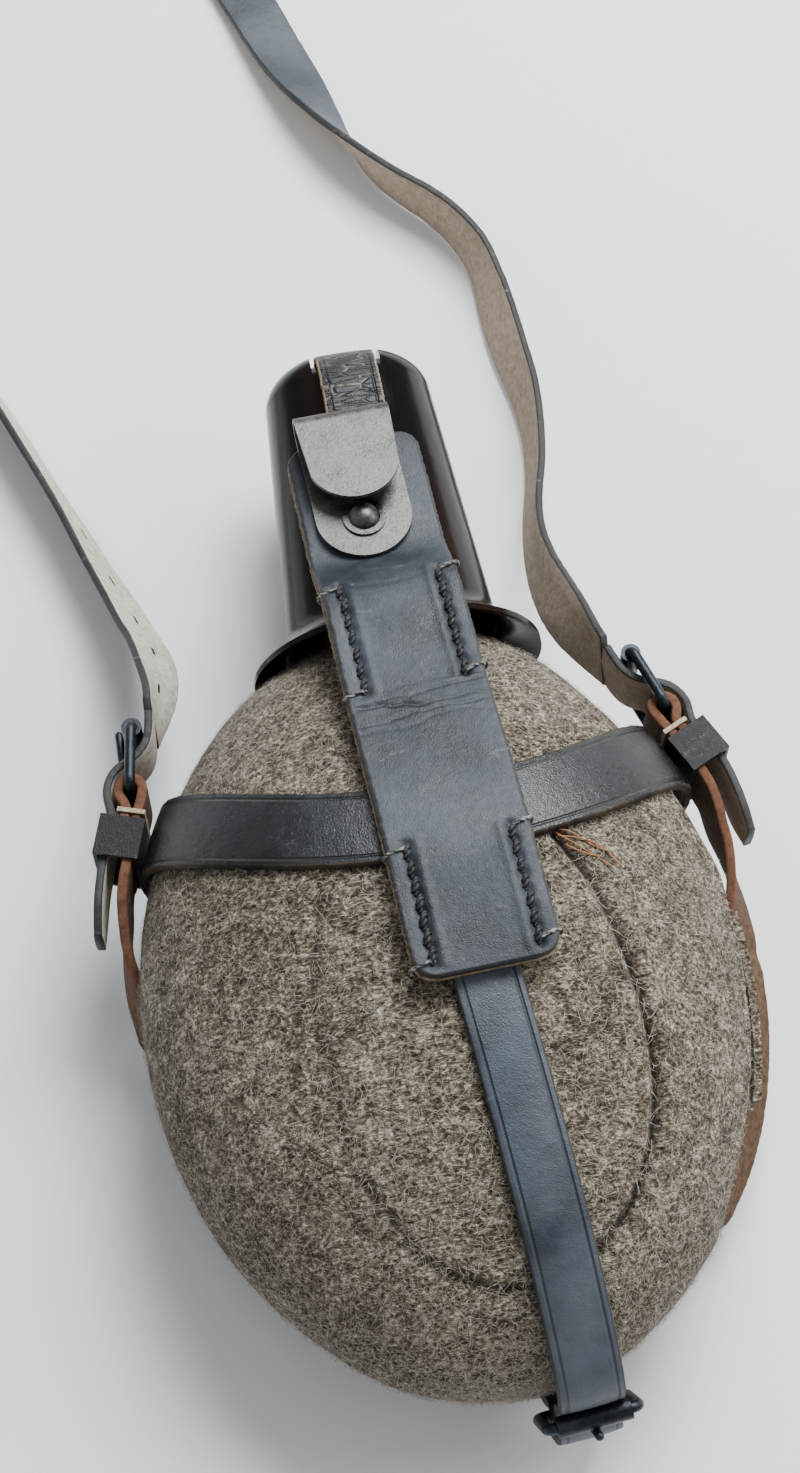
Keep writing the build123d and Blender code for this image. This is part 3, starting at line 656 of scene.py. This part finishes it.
def plan_distance(points, way, count):
    """Distance in plan from points to the curve through a way, and the share of it passed there, 0 to 1."""
    curve = through([(x / 1000, y / 1000) for x, y in way], count)
    near = np.full(len(points), np.inf)
    share = np.zeros(len(points))
    for k, place in enumerate(curve):
        d = np.hypot(points[:, 0] - place[0], points[:, 1] - place[1])
        closer = d < near
        near[closer] = d[closer]
        share[closer] = k / (count - 1)
    return near, share


def felt_point(turn, slope, grow=0.0):
    """Places on the felt and the way out of it. turn is the angle round the bottle's axis, slope along it."""
    a, b, top, back = (v + grow for v in FELT)
    c = np.where(np.sin(turn) > 0, top, back)
    x = FELT_SHIFT + a * np.cos(slope) * np.cos(turn)
    y = BODY_Y + b * np.sin(slope)
    z = AXIS_Z + c * np.cos(slope) * np.sin(turn)
    p = np.stack([x, y, z], -1)
    out = np.stack([(x - FELT_SHIFT) / a**2, (y - BODY_Y) / b**2, (z - AXIS_Z) / c**2], -1)
    flat = p[..., 2] < FELT_FLAT - grow
    p[..., 2] = np.maximum(p[..., 2], FELT_FLAT - grow)
    out[flat] = (0, 0, -1)
    return p, unit(out)


def felt_cover():
    fine = 1.0
    upper = np.linspace(radians(-14), radians(194), int(FELT_UPPER * fine))
    lower = np.linspace(radians(194), radians(346), int(FELT_LOWER * fine) + 1)[1:-1]
    slope = np.linspace(radians(-89.5), radians(86), int(FELT_ROWS * fine))
    turns, slopes = np.meshgrid(np.r_[upper, lower], slope)
    p, out = felt_point(turns, slopes)
    p, out = p.reshape(-1, 3), out.reshape(-1, 3)
    front = p[:, 2] > AXIS_Z
    near, share = plan_distance(p, SEAM, 260)
    strong = 0.42 + 0.58 * np.clip(2.0 - share * 3.0, 0, 1)
    dent = bell(near, 0.0017) * strong * front
    pillow = bell(near, 0.005) * strong * front
    fold = bell(plan_distance(p, RIDGE, 80)[0], 0.0016) * front
    # the front layer's edge down the right side, with the second layer set back under it
    y = p[:, 1]
    angle = turns.reshape(-1)
    lap = np.radians(16 + 34 * np.clip((y - 0.115) / 0.07, 0, 1.2))
    beyond = 1 / (1 + np.exp((angle - lap) / radians(0.7)))
    beyond *= fade(angle + radians(14), radians(6))
    beyond *= fade(y - 0.028, 0.02) * fade(0.19 - y, 0.02)
    lip = bell(angle - lap - radians(1.6), radians(1.5)) * fade(y - 0.028, 0.02)
    lap_shade = bell(angle - lap + radians(0.7), radians(1.1)) * fade(y - 0.04, 0.02) * fade(0.19 - y, 0.02)
    lumps = ripple(p, 26, 0.4) * 0.0009 + ripple(p, 90, 5.0) * 0.00035
    push = lumps - DENT_DEEP * dent + PILLOW_HIGH * pillow - FOLD_DEEP * fold
    push = push - LAP_DEEP * beyond + LIP_HIGH * lip
    push[out[:, 2] < -0.9] = 0
    p = p + out * push[:, None]
    rows, columns = turns.shape
    faces = wall(rows, columns).tolist() + [list(range(columns))[::-1]]
    obj = make("felt_cover_visual", p, faces, [FELT_MAT])
    # Painted shade, with the sewn line's own dark: the groove of the sewn oval, the left crease and the strip
    # under the lapped layer's edge are darkened in colour.
    dark = np.clip(bell(near, 0.0010) * strong * front + 0.25 * fold + 0.9 * lap_shade, 0, 1)
    seam_and_shade = obj.data.attributes.new("seam_and_shade", "FLOAT", "POINT")
    seam_and_shade.data.foreach_set("value", dark.astype(np.float32))
    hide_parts("felt_cover")
    return p, out


def felt_fibres(points, outs, count):
    """Loose wool ends that stand off the felt."""
    rng = np.random.default_rng(7)
    pick = rng.integers(0, len(points), count)
    pick = pick[outs[pick, 2] > -0.55]
    verts, faces = [], []
    for p, out in zip(points[pick], outs[pick]):
        way = unit(np.cross(out, rng.normal(size=3)))
        long = rng.uniform(0.0018, 0.0048)
        rise = rng.uniform(0.0001, 0.0009)
        curl = unit(np.cross(way, out)) * rng.normal() * long * 0.25
        wide = unit(np.cross(way, out)) * FIBRE_HALF_WIDE
        steps = [(0, -0.0001, 0), (0.35, 0.7, 0.6), (0.7, 0.9, 1.0), (1.0, rng.uniform(0, 1.1), 0.7)]
        base = len(verts)
        for t, h, c in steps:
            q = p + way * long * t + out * rise * h + curl * c
            verts += [q - wide, q + wide]
        faces += [[base + 2 * k, base + 2 * k + 1, base + 2 * k + 3, base + 2 * k + 2] for k in range(3)]
    make("felt_fibres", verts, faces, [FIBRE_MAT])


skin, skin_out = felt_cover()
felt_fibres(skin, skin_out, FIBRES)
paint("cover_overlap", FELT_MAT)

# ------------------------------------------------------------------ cup strap and hook pad

CUP_FLATTEN, CUP_BASE_HALF, CUP_TAPER = 0.85, 0.023, 0.005
CUP_WALL_END_Y, CUP_WALL_LONG = 0.275, 0.071
LEATHER_THICK = 0.0024
# Heights of the pad's two layers over the surface they lie on.
BACKING_LOW, BACKING_HIGH, PAD_LOW, PAD_HIGH = 0.0028, 0.0044, 0.0045, 0.0075
BACKING_HALF, PAD_CORNER = 0.01775, 0.0055
# The pad and its hook lie a little askew: degrees, and the place on it that they turn round.
PAD_TURN, PAD_PIVOT = 2.65, (-0.001, 0.186)
STITCH_ROWS = ((0.1655, 0.199), (0.0905, 0.1215))
STITCH_SIDE = 0.0126
STITCH_COUNT = 7
# (y, depth, half width) of the creases across the pad.
PAD_CREASES = (
    (0.1545, 0.00022, 0.0005),
    (0.1572, 0.0003, 0.0004),
    (0.1598, 0.00028, 0.0006),
    (0.1622, 0.00032, 0.0004),
    (0.1650, 0.0002, 0.0005),
    (0.1965, 0.0003, 0.0006),
)


def felt_top(y):
    return AXIS_Z + FELT_FRONT * sqrt(max(0.0, 1 - ((y - BODY_Y) / FELT_TALL) ** 2))


def cup_top(y):
    return AXIS_Z + CUP_FLATTEN * (CUP_BASE_HALF - CUP_TAPER * (y - CUP_WALL_END_Y) / CUP_WALL_LONG)


# The surface under the pad and the overhead strap, as (y, z): felt, the cup's lip, the cup.
TOP_LINE = [(y, felt_top(y) + 0.0003) for y in (0.088, 0.100, 0.112, 0.124, 0.136, 0.148)]
TOP_LINE += [(0.160, 0.0784), (0.172, 0.0765), (0.182, 0.0755), (0.189, 0.0751)]
TOP_LINE += [(0.194, 0.0740), (0.199, 0.0709), (0.204, 0.0672)]
TOP_LINE += [(y, cup_top(y) + 0.00035) for y in (0.210, 0.220, 0.230, 0.240, 0.246)]


def offset_line(points, reach):
    """A side-view line moved to its upper side."""
    p = np.asarray(points, float)
    ahead = unit(np.gradient(p, axis=0))
    return p + np.stack([-ahead[:, 1], ahead[:, 0]], 1) * reach


def rounded(line, half, radius):
    """Half widths that round off a strip's two ends."""
    s = travel(line)
    inside = np.clip(radius - np.minimum(s, s[-1] - s), 0, radius)
    return half - radius + np.sqrt(np.maximum(radius**2 - inside**2, 1e-10))


def pad_lift(line, x):
    """Puckers along the stitches, and creases where the pad bends."""
    y = line[:, 1]
    h = np.zeros(len(y))
    for low, high in STITCH_ROWS:
        inside = fade(y - low + 0.0015, 0.0015) * fade(high + 0.0015 - y, 0.0015)
        pitch = (high - low) / STITCH_COUNT
        phase = np.cos(2 * pi * (y - low) / pitch)
        h -= bell(np.abs(x) - STITCH_SIDE, 0.0012) * inside * (0.00075 + 0.00035 * phase)
        h += bell(np.abs(x) - STITCH_SIDE + 0.0026, 0.0011) * inside * 0.0003
    across = float(np.mean(x))
    for where, deep, wide in PAD_CREASES:
        wander = 0.0022 * noise.noise(Vector((across * 75, where * 900, 0.5)))
        wander += 0.0007 * noise.noise(Vector((across * 330, where * 500, 2.5)))
        strength = 0.35 + 0.65 * abs(noise.noise(Vector((across * 90, where * 1500, 7.5)))) * 2
        h -= 1.9 * deep * strength * bell(y - where - wander, wide)
    h += 0.00025 * np.sin(y * 120 + x * 90)
    return h


def swung(points, degrees, pivot):
    """Points round x 0, turned by some degrees in plan, with (0, the pivot's y) set down on the pivot."""
    p = np.array(points, float)
    a = radians(degrees)
    y = p[:, 1] - pivot[1]
    return np.stack(
        [p[:, 0] * cos(a) - y * sin(a) + pivot[0], p[:, 0] * sin(a) + y * cos(a) + pivot[1], p[:, 2]], 1
    )


def swung_side(degrees):
    return (cos(radians(degrees)), sin(radians(degrees)), 0.0)


def pad_pieces():
    base = through(TOP_LINE, 330)
    pad_mats, backing_mats = [PAD_MAT, EDGE_DARK, EDGE_RAW], [EDGE_RAW, EDGE_RAW, FLESH_TAN]
    for node, low, high, half, mats, across, lift in (
        ("hook_pad", PAD_LOW, PAD_HIGH, PAD_HALF, pad_mats, 61, pad_lift),
        ("pad_backing", BACKING_LOW, BACKING_HIGH, BACKING_HALF, backing_mats, 9, None),
    ):
        line = side_view(offset_line(base, (low + high) / 2))[::-1]
        obj = ribbon(
            node + "_visual", swung(line, PAD_TURN, PAD_PIVOT), swung_side(PAD_TURN),
            rounded(line, half, PAD_CORNER), high - low, mats,
            body="cup_set", across=across, crown=0.0001, rim=0.0008, lift=lift, fray=0.0003,
        )
        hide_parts(node)


pad_pieces()


def overhead():
    """The strap over the cup, from under the pad round the cup's end and down its back."""
    front = [(y, z) for y, z in TOP_LINE if y > 0.175]
    base = [(y, cup_top(y) + 0.00035) for y in (0.258, 0.264)]
    rise = AXIS_Z + CUP_FLATTEN * CUP_BASE_HALF
    base += [(0.271, rise + 0.0002), (0.277, rise - 0.0022), (0.2808, rise - 0.0062), (0.2823, rise - 0.0115)]
    mirrored = [(y, 2 * AXIS_Z - z) for y, z in reversed(base)]
    back = [(0.225, 0.018), (0.211, 0.0163), (0.203, 0.0123), (0.193, 0.0072), (0.184, 0.0066)]
    line = offset_line(through(front + base + mirrored + back, 300), LEATHER_THICK / 2)
    obj = ribbon(
        "cup_strap_visual", side_view(line)[::-1], (1, 0, 0), NARROW_HALF, LEATHER_THICK,
        [OVER_MAT, EDGE_RAW, FLESH_TAN], "cup_set", fray=0.0003,
    )
    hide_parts("cup_strap")


overhead()

# ------------------------------------------------------------------ girth band and front strap

BAND_OFF = 0.0015
BAND_CENTRE_Y = BODY_Y + 0.1385
BAND_RADII = (0.100, 0.110, 0.120)
BAND_POINTS, BAND_ROUNDS = 420, 60
# The front strap strays to one side at the bottom: degrees, and the place on it that it turns round.
FRONT_TURN, FRONT_PIVOT = 5.5, (0.0005, 0.112)
BOTTOM_BAR, BOTTOM_TILT = (-0.0018, 0.024), radians(20)


def side_band():
    """The band round the body, cut from an arc so that it dips at the front and back."""
    turn = np.linspace(0, 2 * pi, BAND_POINTS, endpoint=False)
    lines = []
    for radius in BAND_RADII:
        y = np.full(len(turn), 0.14)
        for _ in range(BAND_ROUNDS):
            share = np.sqrt(np.maximum(0, 1 - ((y - BODY_Y) / (FELT_TALL + BAND_OFF)) ** 2))
            x = (FELT_WIDE + BAND_OFF) * share * np.cos(turn)
            y = 0.5 * y + 0.5 * (BAND_CENTRE_Y - np.sqrt(np.maximum(radius**2 - x**2, 1e-6)))
        slope = np.arcsin(np.clip((y - BODY_Y) / (FELT_TALL + BAND_OFF), -1, 1))
        lines.append(felt_point(turn, slope, BAND_OFF)[0])
    inner, middle, outer = lines
    middle = middle + [[0, sway, 0] for sway in 0.0004 * ripple(middle, 40, 2.0)]
    obj = ribbon(
        "side_band_visual", middle, outer - inner, BAND_HALF, LEATHER_THICK, [BAND_MAT, EDGE_WORN, FLESH_TAN],
        closed=True, crown=0.0003, fray=0.0003,
    )
    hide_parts("side_band")


side_band()


def low_point(n, v):
    """(n, v) of the bottom buckle's own frame, in metres, as (y, z)."""
    y = BOTTOM_BAR[0] - n * cos(BOTTOM_TILT) - v * sin(BOTTOM_TILT)
    return (y, BOTTOM_BAR[1] - n * sin(BOTTOM_TILT) + v * cos(BOTTOM_TILT))


def front_strap():
    crown = [(0.110, felt_top(0.110) + 0.0003)]
    for angle in range(83, 12, -9):
        a = radians(angle)
        crown.append((BODY_Y - (FELT_TALL + 0.0005) * cos(a), AXIS_Z + (FELT_FRONT + 0.0003) * sin(a)))
    ways = ((-5.4, 19), (-5.0, 14), (-1.0, 7.6), (3.3, 4.4), (4.9, 0), (5.0, -6), (4.4, -14))
    line = through(crown[:-1] + [low_point(n / 1000, v / 1000) for n, v in ways], 300)
    line = side_view(offset_line(line, -LEATHER_THICK / 2))
    obj = ribbon(
        "front_strap_visual", swung(line, FRONT_TURN, FRONT_PIVOT), swung_side(FRONT_TURN), NARROW_HALF,
        LEATHER_THICK, [FRONT_MAT, EDGE_DARK, FLESH_TAN], crown=0.0003,
    )
    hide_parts("front_strap")


front_strap()
paint("back_strap", BLACK_MAT)

# ------------------------------------------------------------------ side buckles, sling and keepers

RIGHT, LEFT = 1, -1
NAMES = {RIGHT: "right", LEFT: "left"}
BAR_X = {RIGHT: 0.0681, LEFT: 0.0702}
BAR_Y, BAR_Z = 0.165, 0.043
# How far each buckle, and the sling's leg below it, leans from upright, in degrees.
BUCKLE_TILT = {RIGHT: 18.0, LEFT: 8.0}
LEG_TILT = {RIGHT: 26.0, LEFT: 18.0}
SLING_HALF, SLING_THICK, SLING_OFF = 0.009, 0.0025, 0.0051
SLING_BELLY = {RIGHT: 0.027, LEFT: 0.020}
SLING_JOINS_Y = 0.136


def frame_point(side, tilts, points):
    """(n, v) points of a buckle's own frame, in millimetres, as points at the height of its middle."""
    turn = radians(tilts[side])
    out, along = np.array([side * cos(turn), sin(turn), 0]), np.array([-side * sin(turn), cos(turn), 0])
    bar = np.array([FELT_SHIFT + side * BAR_X[side], BAR_Y, BAR_Z])
    return np.array([bar + out * n / 1000 + along * v / 1000 for n, v in points])


def tail(side):
    """The shoulder strap's end, round the buckle's roller and down outside the sling."""
    turn = radians(LEG_TILT[side] - BUCKLE_TILT[side])
    inwards = LEG_TILT[side] - 18.0

    def leg(n, v):
        return (n * cos(turn) - v * sin(turn), n * sin(turn) + v * cos(turn))

    upper = [(-5.3, 22), (-5.3, 17.5), (-4.6, 13), (-0.6, 7.6), (3.4, 4.3), (4.8, 0.8)]
    lower = [leg(4.6, -2.2), leg(3.1, -5.6), leg(2.3, -9), leg(2.2, -14), leg(2.2, -19)]
    lower += [leg(1.6 - 0.17 * inwards, -28), leg(-0.4 * inwards, -39)]
    flat = offset_line(through(upper + lower, 120), 1.1)
    line = frame_point(side, BUCKLE_TILT, flat)
    if side == RIGHT:
        line = line[::-1]
    close = np.linalg.norm(line - frame_point(side, BUCKLE_TILT, [lower[-1]])[0], axis=1)
    half = STRAP_HALF - 0.004 * np.clip(1 - close / 0.010, 0, 1) ** 2
    flesh = FLESH_TAN if side == RIGHT else FLESH_PALE
    obj = ribbon(
        NAMES[side] + "_tail_visual", line, (0, 0, 1), half, STRAP_THICK, [SHOULDER_MAT, EDGE_DARK, flesh],
        across=9, fray=0.0002,
    )
    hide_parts(NAMES[side] + "_tail")


def sling_side(side):
    """The sling's centre line from its sewn end, round the bar, and along the body to the bottom."""
    foot = -3.0 - 15 * sin(radians(LEG_TILT[side] - 19))
    turn = [(3.0 * cos(radians(a)), 3.0 * sin(radians(a))) for a in (0, 30, 60, 90, 120, 150, 180)]
    legs = [(0.0, -14), (0.1, -8), (0.3, -5), (2.5, -2.2)] + turn
    legs += [(-3.0, -5), (-3.0, -16), (foot * 0.5 - 1.5, -24)]
    belly = SLING_BELLY[side]
    heights = (-0.02, 0.04, 0.104, 0.142), (0.009, (belly + 0.016) / 2, belly, BAR_Z)
    body_line = []
    for slope in np.linspace(0.40, -1.57, 50):
        z = BAR_Z
        for _ in range(30):
            depth = FELT_FRONT if z > AXIS_Z else FELT_BACK
            share = sqrt(max(0.0, 1 - ((z - AXIS_Z) / (depth + SLING_OFF)) ** 2))
            y = BODY_Y + (FELT_TALL + SLING_OFF) * share * sin(slope)
            z = 0.5 * z + 0.5 * float(np.interp(y, *heights))
        if y < SLING_JOINS_Y:
            body_line.append((FELT_SHIFT + side * (FELT_WIDE + SLING_OFF) * share * cos(slope), y, z))
    return through(list(frame_point(side, LEG_TILT, legs)) + body_line, 260)


def sling():
    line = even(np.concatenate([sling_side(RIGHT), sling_side(LEFT)[::-1][1:]]), 560)
    tilt = np.clip((0.043 - line[:, 2]) / 0.025, 0, 1)[:, None]
    x, y, z = (line - np.array([FELT_SHIFT, BODY_Y, AXIS_Z])).T
    surface = unit(np.stack([x / FELT_WIDE**2, y / FELT_TALL**2, z / FELT_BACK**2], 1))
    upright = np.array([0, 0, 1.0])
    upright = unit(upright - surface * (upright * surface).sum(1, keepdims=True) * tilt)
    obj = ribbon(
        "side_sling_visual", line[::-1], upright, SLING_HALF, SLING_THICK, [SLING_MAT, SLING_EDGE, SLING_MAT],
        across=9, fray=0.0003,
    )
    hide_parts("side_sling")


for side in (RIGHT, LEFT):
    tail(side)
    paint(NAMES[side] + "_keeper", BLACK_MAT, 0.0006)
    paint(NAMES[side] + "_sling_tie", TIE_MAT, 0.0003)
sling()
for name in ("right", "left", "bottom"):
    for piece in ("buckle", "roller", "prong"):
        paint(name + "_" + piece, BUCKLE_MAT)

# ------------------------------------------------------------------ cup, hook and hidden pieces

paint("cup", CUP_MAT)
paint("belt_hook", HOOK_MAT, 0.0003)
paint("hook_rivet", STUD_MAT)
paint("rivet_washer", STUD_MAT)
paint("press_studs", STUD_MAT)
paint("bottle", BOTTLE_MAT)
paint("screw_cap", CAP_MAT)
paint("cap_seal", SEAL_MAT)

# ------------------------------------------------------------------ stitches and loose threads

PLY_TURN = 0.0032
STITCH_RADIUS, WRAP_RADIUS = 0.00088, 0.00045
LOOSE_RADIUS = 0.00022
# (x, y) of the frayed ends of the felt's own seam thread.
LOOSE_WAYS = (
    [(0.024, 0.1235), (0.029, 0.1225), (0.034, 0.119), (0.0385, 0.1165)],
    [(0.026, 0.1225), (0.030, 0.119), (0.0335, 0.1165), (0.038, 0.1125)],
    [(0.0265, 0.1215), (0.031, 0.1205), (0.036, 0.1185), (0.0405, 0.1125)],
    [(0.028, 0.119), (0.0315, 0.1165), (0.036, 0.1155)],
)


def twisted(path, radius):
    """Two plies laid round each other along a path."""
    ahead = unit(np.gradient(path, axis=0))
    a = unit(np.cross(ahead, np.array([1.0, 0.05, 0.02])))
    b = np.cross(ahead, a)
    plies = []
    for start in (0, pi):
        turn = start + travel(path) / PLY_TURN * 2 * pi
        centre = path + (a * np.cos(turn)[:, None] + b * np.sin(turn)[:, None]) * radius * 0.5
        plies.append(tube(centre, radius * 0.62, 7))
    return plies


def stitch_group(name, node, row):
    """Short thick stitches down each side of the pad, with a worn wrap over the edge at each end."""
    low, high = row
    surface = offset_line(through(TOP_LINE, 400), PAD_HIGH)
    thread, worn = [], []
    pitch = (high - low) / STITCH_COUNT
    for side in (-1, 1):
        for k in range(STITCH_COUNT):
            ys = np.linspace(low + pitch * (k + 0.08), low + pitch * (k + 0.92), 15)
            arch = np.sin(np.linspace(0, pi, 15))
            z = np.interp(ys, surface[:, 0], surface[:, 1]) - 0.0013 + 0.0015 * arch
            jitter = noise.noise(Vector((k * 3.1, side * 5.0, low * 90)))
            x = side * (STITCH_SIDE + 0.0004 * jitter) + 0.0007 * np.linspace(-1, 1, 15)
            thread += twisted(np.stack([x, ys, z], 1), STITCH_RADIUS)
        for y in (low + 0.001, high - 0.001):
            z = float(np.interp(y, surface[:, 0], surface[:, 1]))
            skew = 0.0015 if side > 0 else -0.001
            way = [(side * 0.0122, y, z - 0.001), (side * 0.0135, y + 0.3 * skew, z + 0.0004)]
            way += [(side * 0.0158, y + 0.7 * skew, z + 0.0003), (side * 0.01795, y + skew, z - 0.0007)]
            way += [(side * 0.0182, y + skew, z - 0.0030), (side * 0.0170, y + skew, z - 0.0052)]
            worn += twisted(through(way, 26), WRAP_RADIUS)
    verts, faces = join(thread)
    obj = make(name, swung(verts, PAD_TURN, PAD_PIVOT), faces, [THREAD_MAT], "cup_set")
    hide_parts(node)
    verts, faces = join(worn)
    make(name + "_wraps", swung(verts, PAD_TURN, PAD_PIVOT), faces, [WORN_MAT], "cup_set")


stitch_group("upper_stitches_visual", "upper_stitches", STITCH_ROWS[0])
stitch_group("lower_stitches_visual", "lower_stitches", STITCH_ROWS[1])


def loose_threads():
    shapes = []
    for way in LOOSE_WAYS:
        points = []
        for k, (x, y) in enumerate(way):
            bulge = 1 - ((x - FELT_SHIFT) / FELT_WIDE) ** 2 - ((y - BODY_Y) / FELT_TALL) ** 2
            z = AXIS_Z + FELT_FRONT * sqrt(bulge)
            points.append((x, y, z + 0.0004 + 0.0007 * (k % 2)))
        shapes.append(tube(through(points, 30), LOOSE_RADIUS, 6))
    verts, faces = join(shapes)
    make("loose_threads", verts, faces, [ORANGE_MAT])


loose_threads()

# ------------------------------------------------------------------ floor and light

FLOOR_HALF, FLOOR_DROP = 4, 0.0002
SKY_COLOUR, SKY_STRENGTH = (0.93, 0.96, 1.0, 1), 0.55
LIGHT_AIM = (0, 0.14, 0.03)
LIGHT_SIZE = 0.7


def area(name, place, power, colour):
    light = bpy.data.lights.new(name, "AREA")
    light.energy, light.size, light.color = power, LIGHT_SIZE, colour
    obj = bpy.data.objects.new(name, light)
    obj.location = at(*place)
    obj.rotation_euler = (at(*LIGHT_AIM) - obj.location).to_track_quat("-Z", "Y").to_euler()
    bpy.context.scene.collection.objects.link(obj)


floor = bpy.data.meshes.new("floor")
corners = [(x * FLOOR_HALF, y * FLOOR_HALF, 0) for x, y in ((-1, -1), (1, -1), (1, 1), (-1, 1))]
floor.from_pydata(corners, [], [(0, 1, 2, 3)])
floor_obj = bpy.data.objects.new("floor", floor)
floor_obj.location.z = -FLOOR_DROP
bpy.context.scene.collection.objects.link(floor_obj)
pale = Finish("floor", rough=0.9, specular=0.1)
pale.colour(pale.mix(pale.noise(3, 2), (0.88, 0.88, 0.88), (0.90, 0.90, 0.90)))
floor.materials.append(pale.mat)

world = bpy.data.worlds.new("world")
bpy.context.scene.world = world
world.use_nodes = True
sky = world.node_tree.nodes["Background"]
sky.inputs["Color"].default_value = SKY_COLOUR
sky.inputs["Strength"].default_value = SKY_STRENGTH
area("sky_key", (0.42, 0.80, 1.15), 36, (0.94, 0.97, 1.0))
area("right_soft", (1.1, 0.1, 0.7), 9, (1.0, 0.99, 0.97))
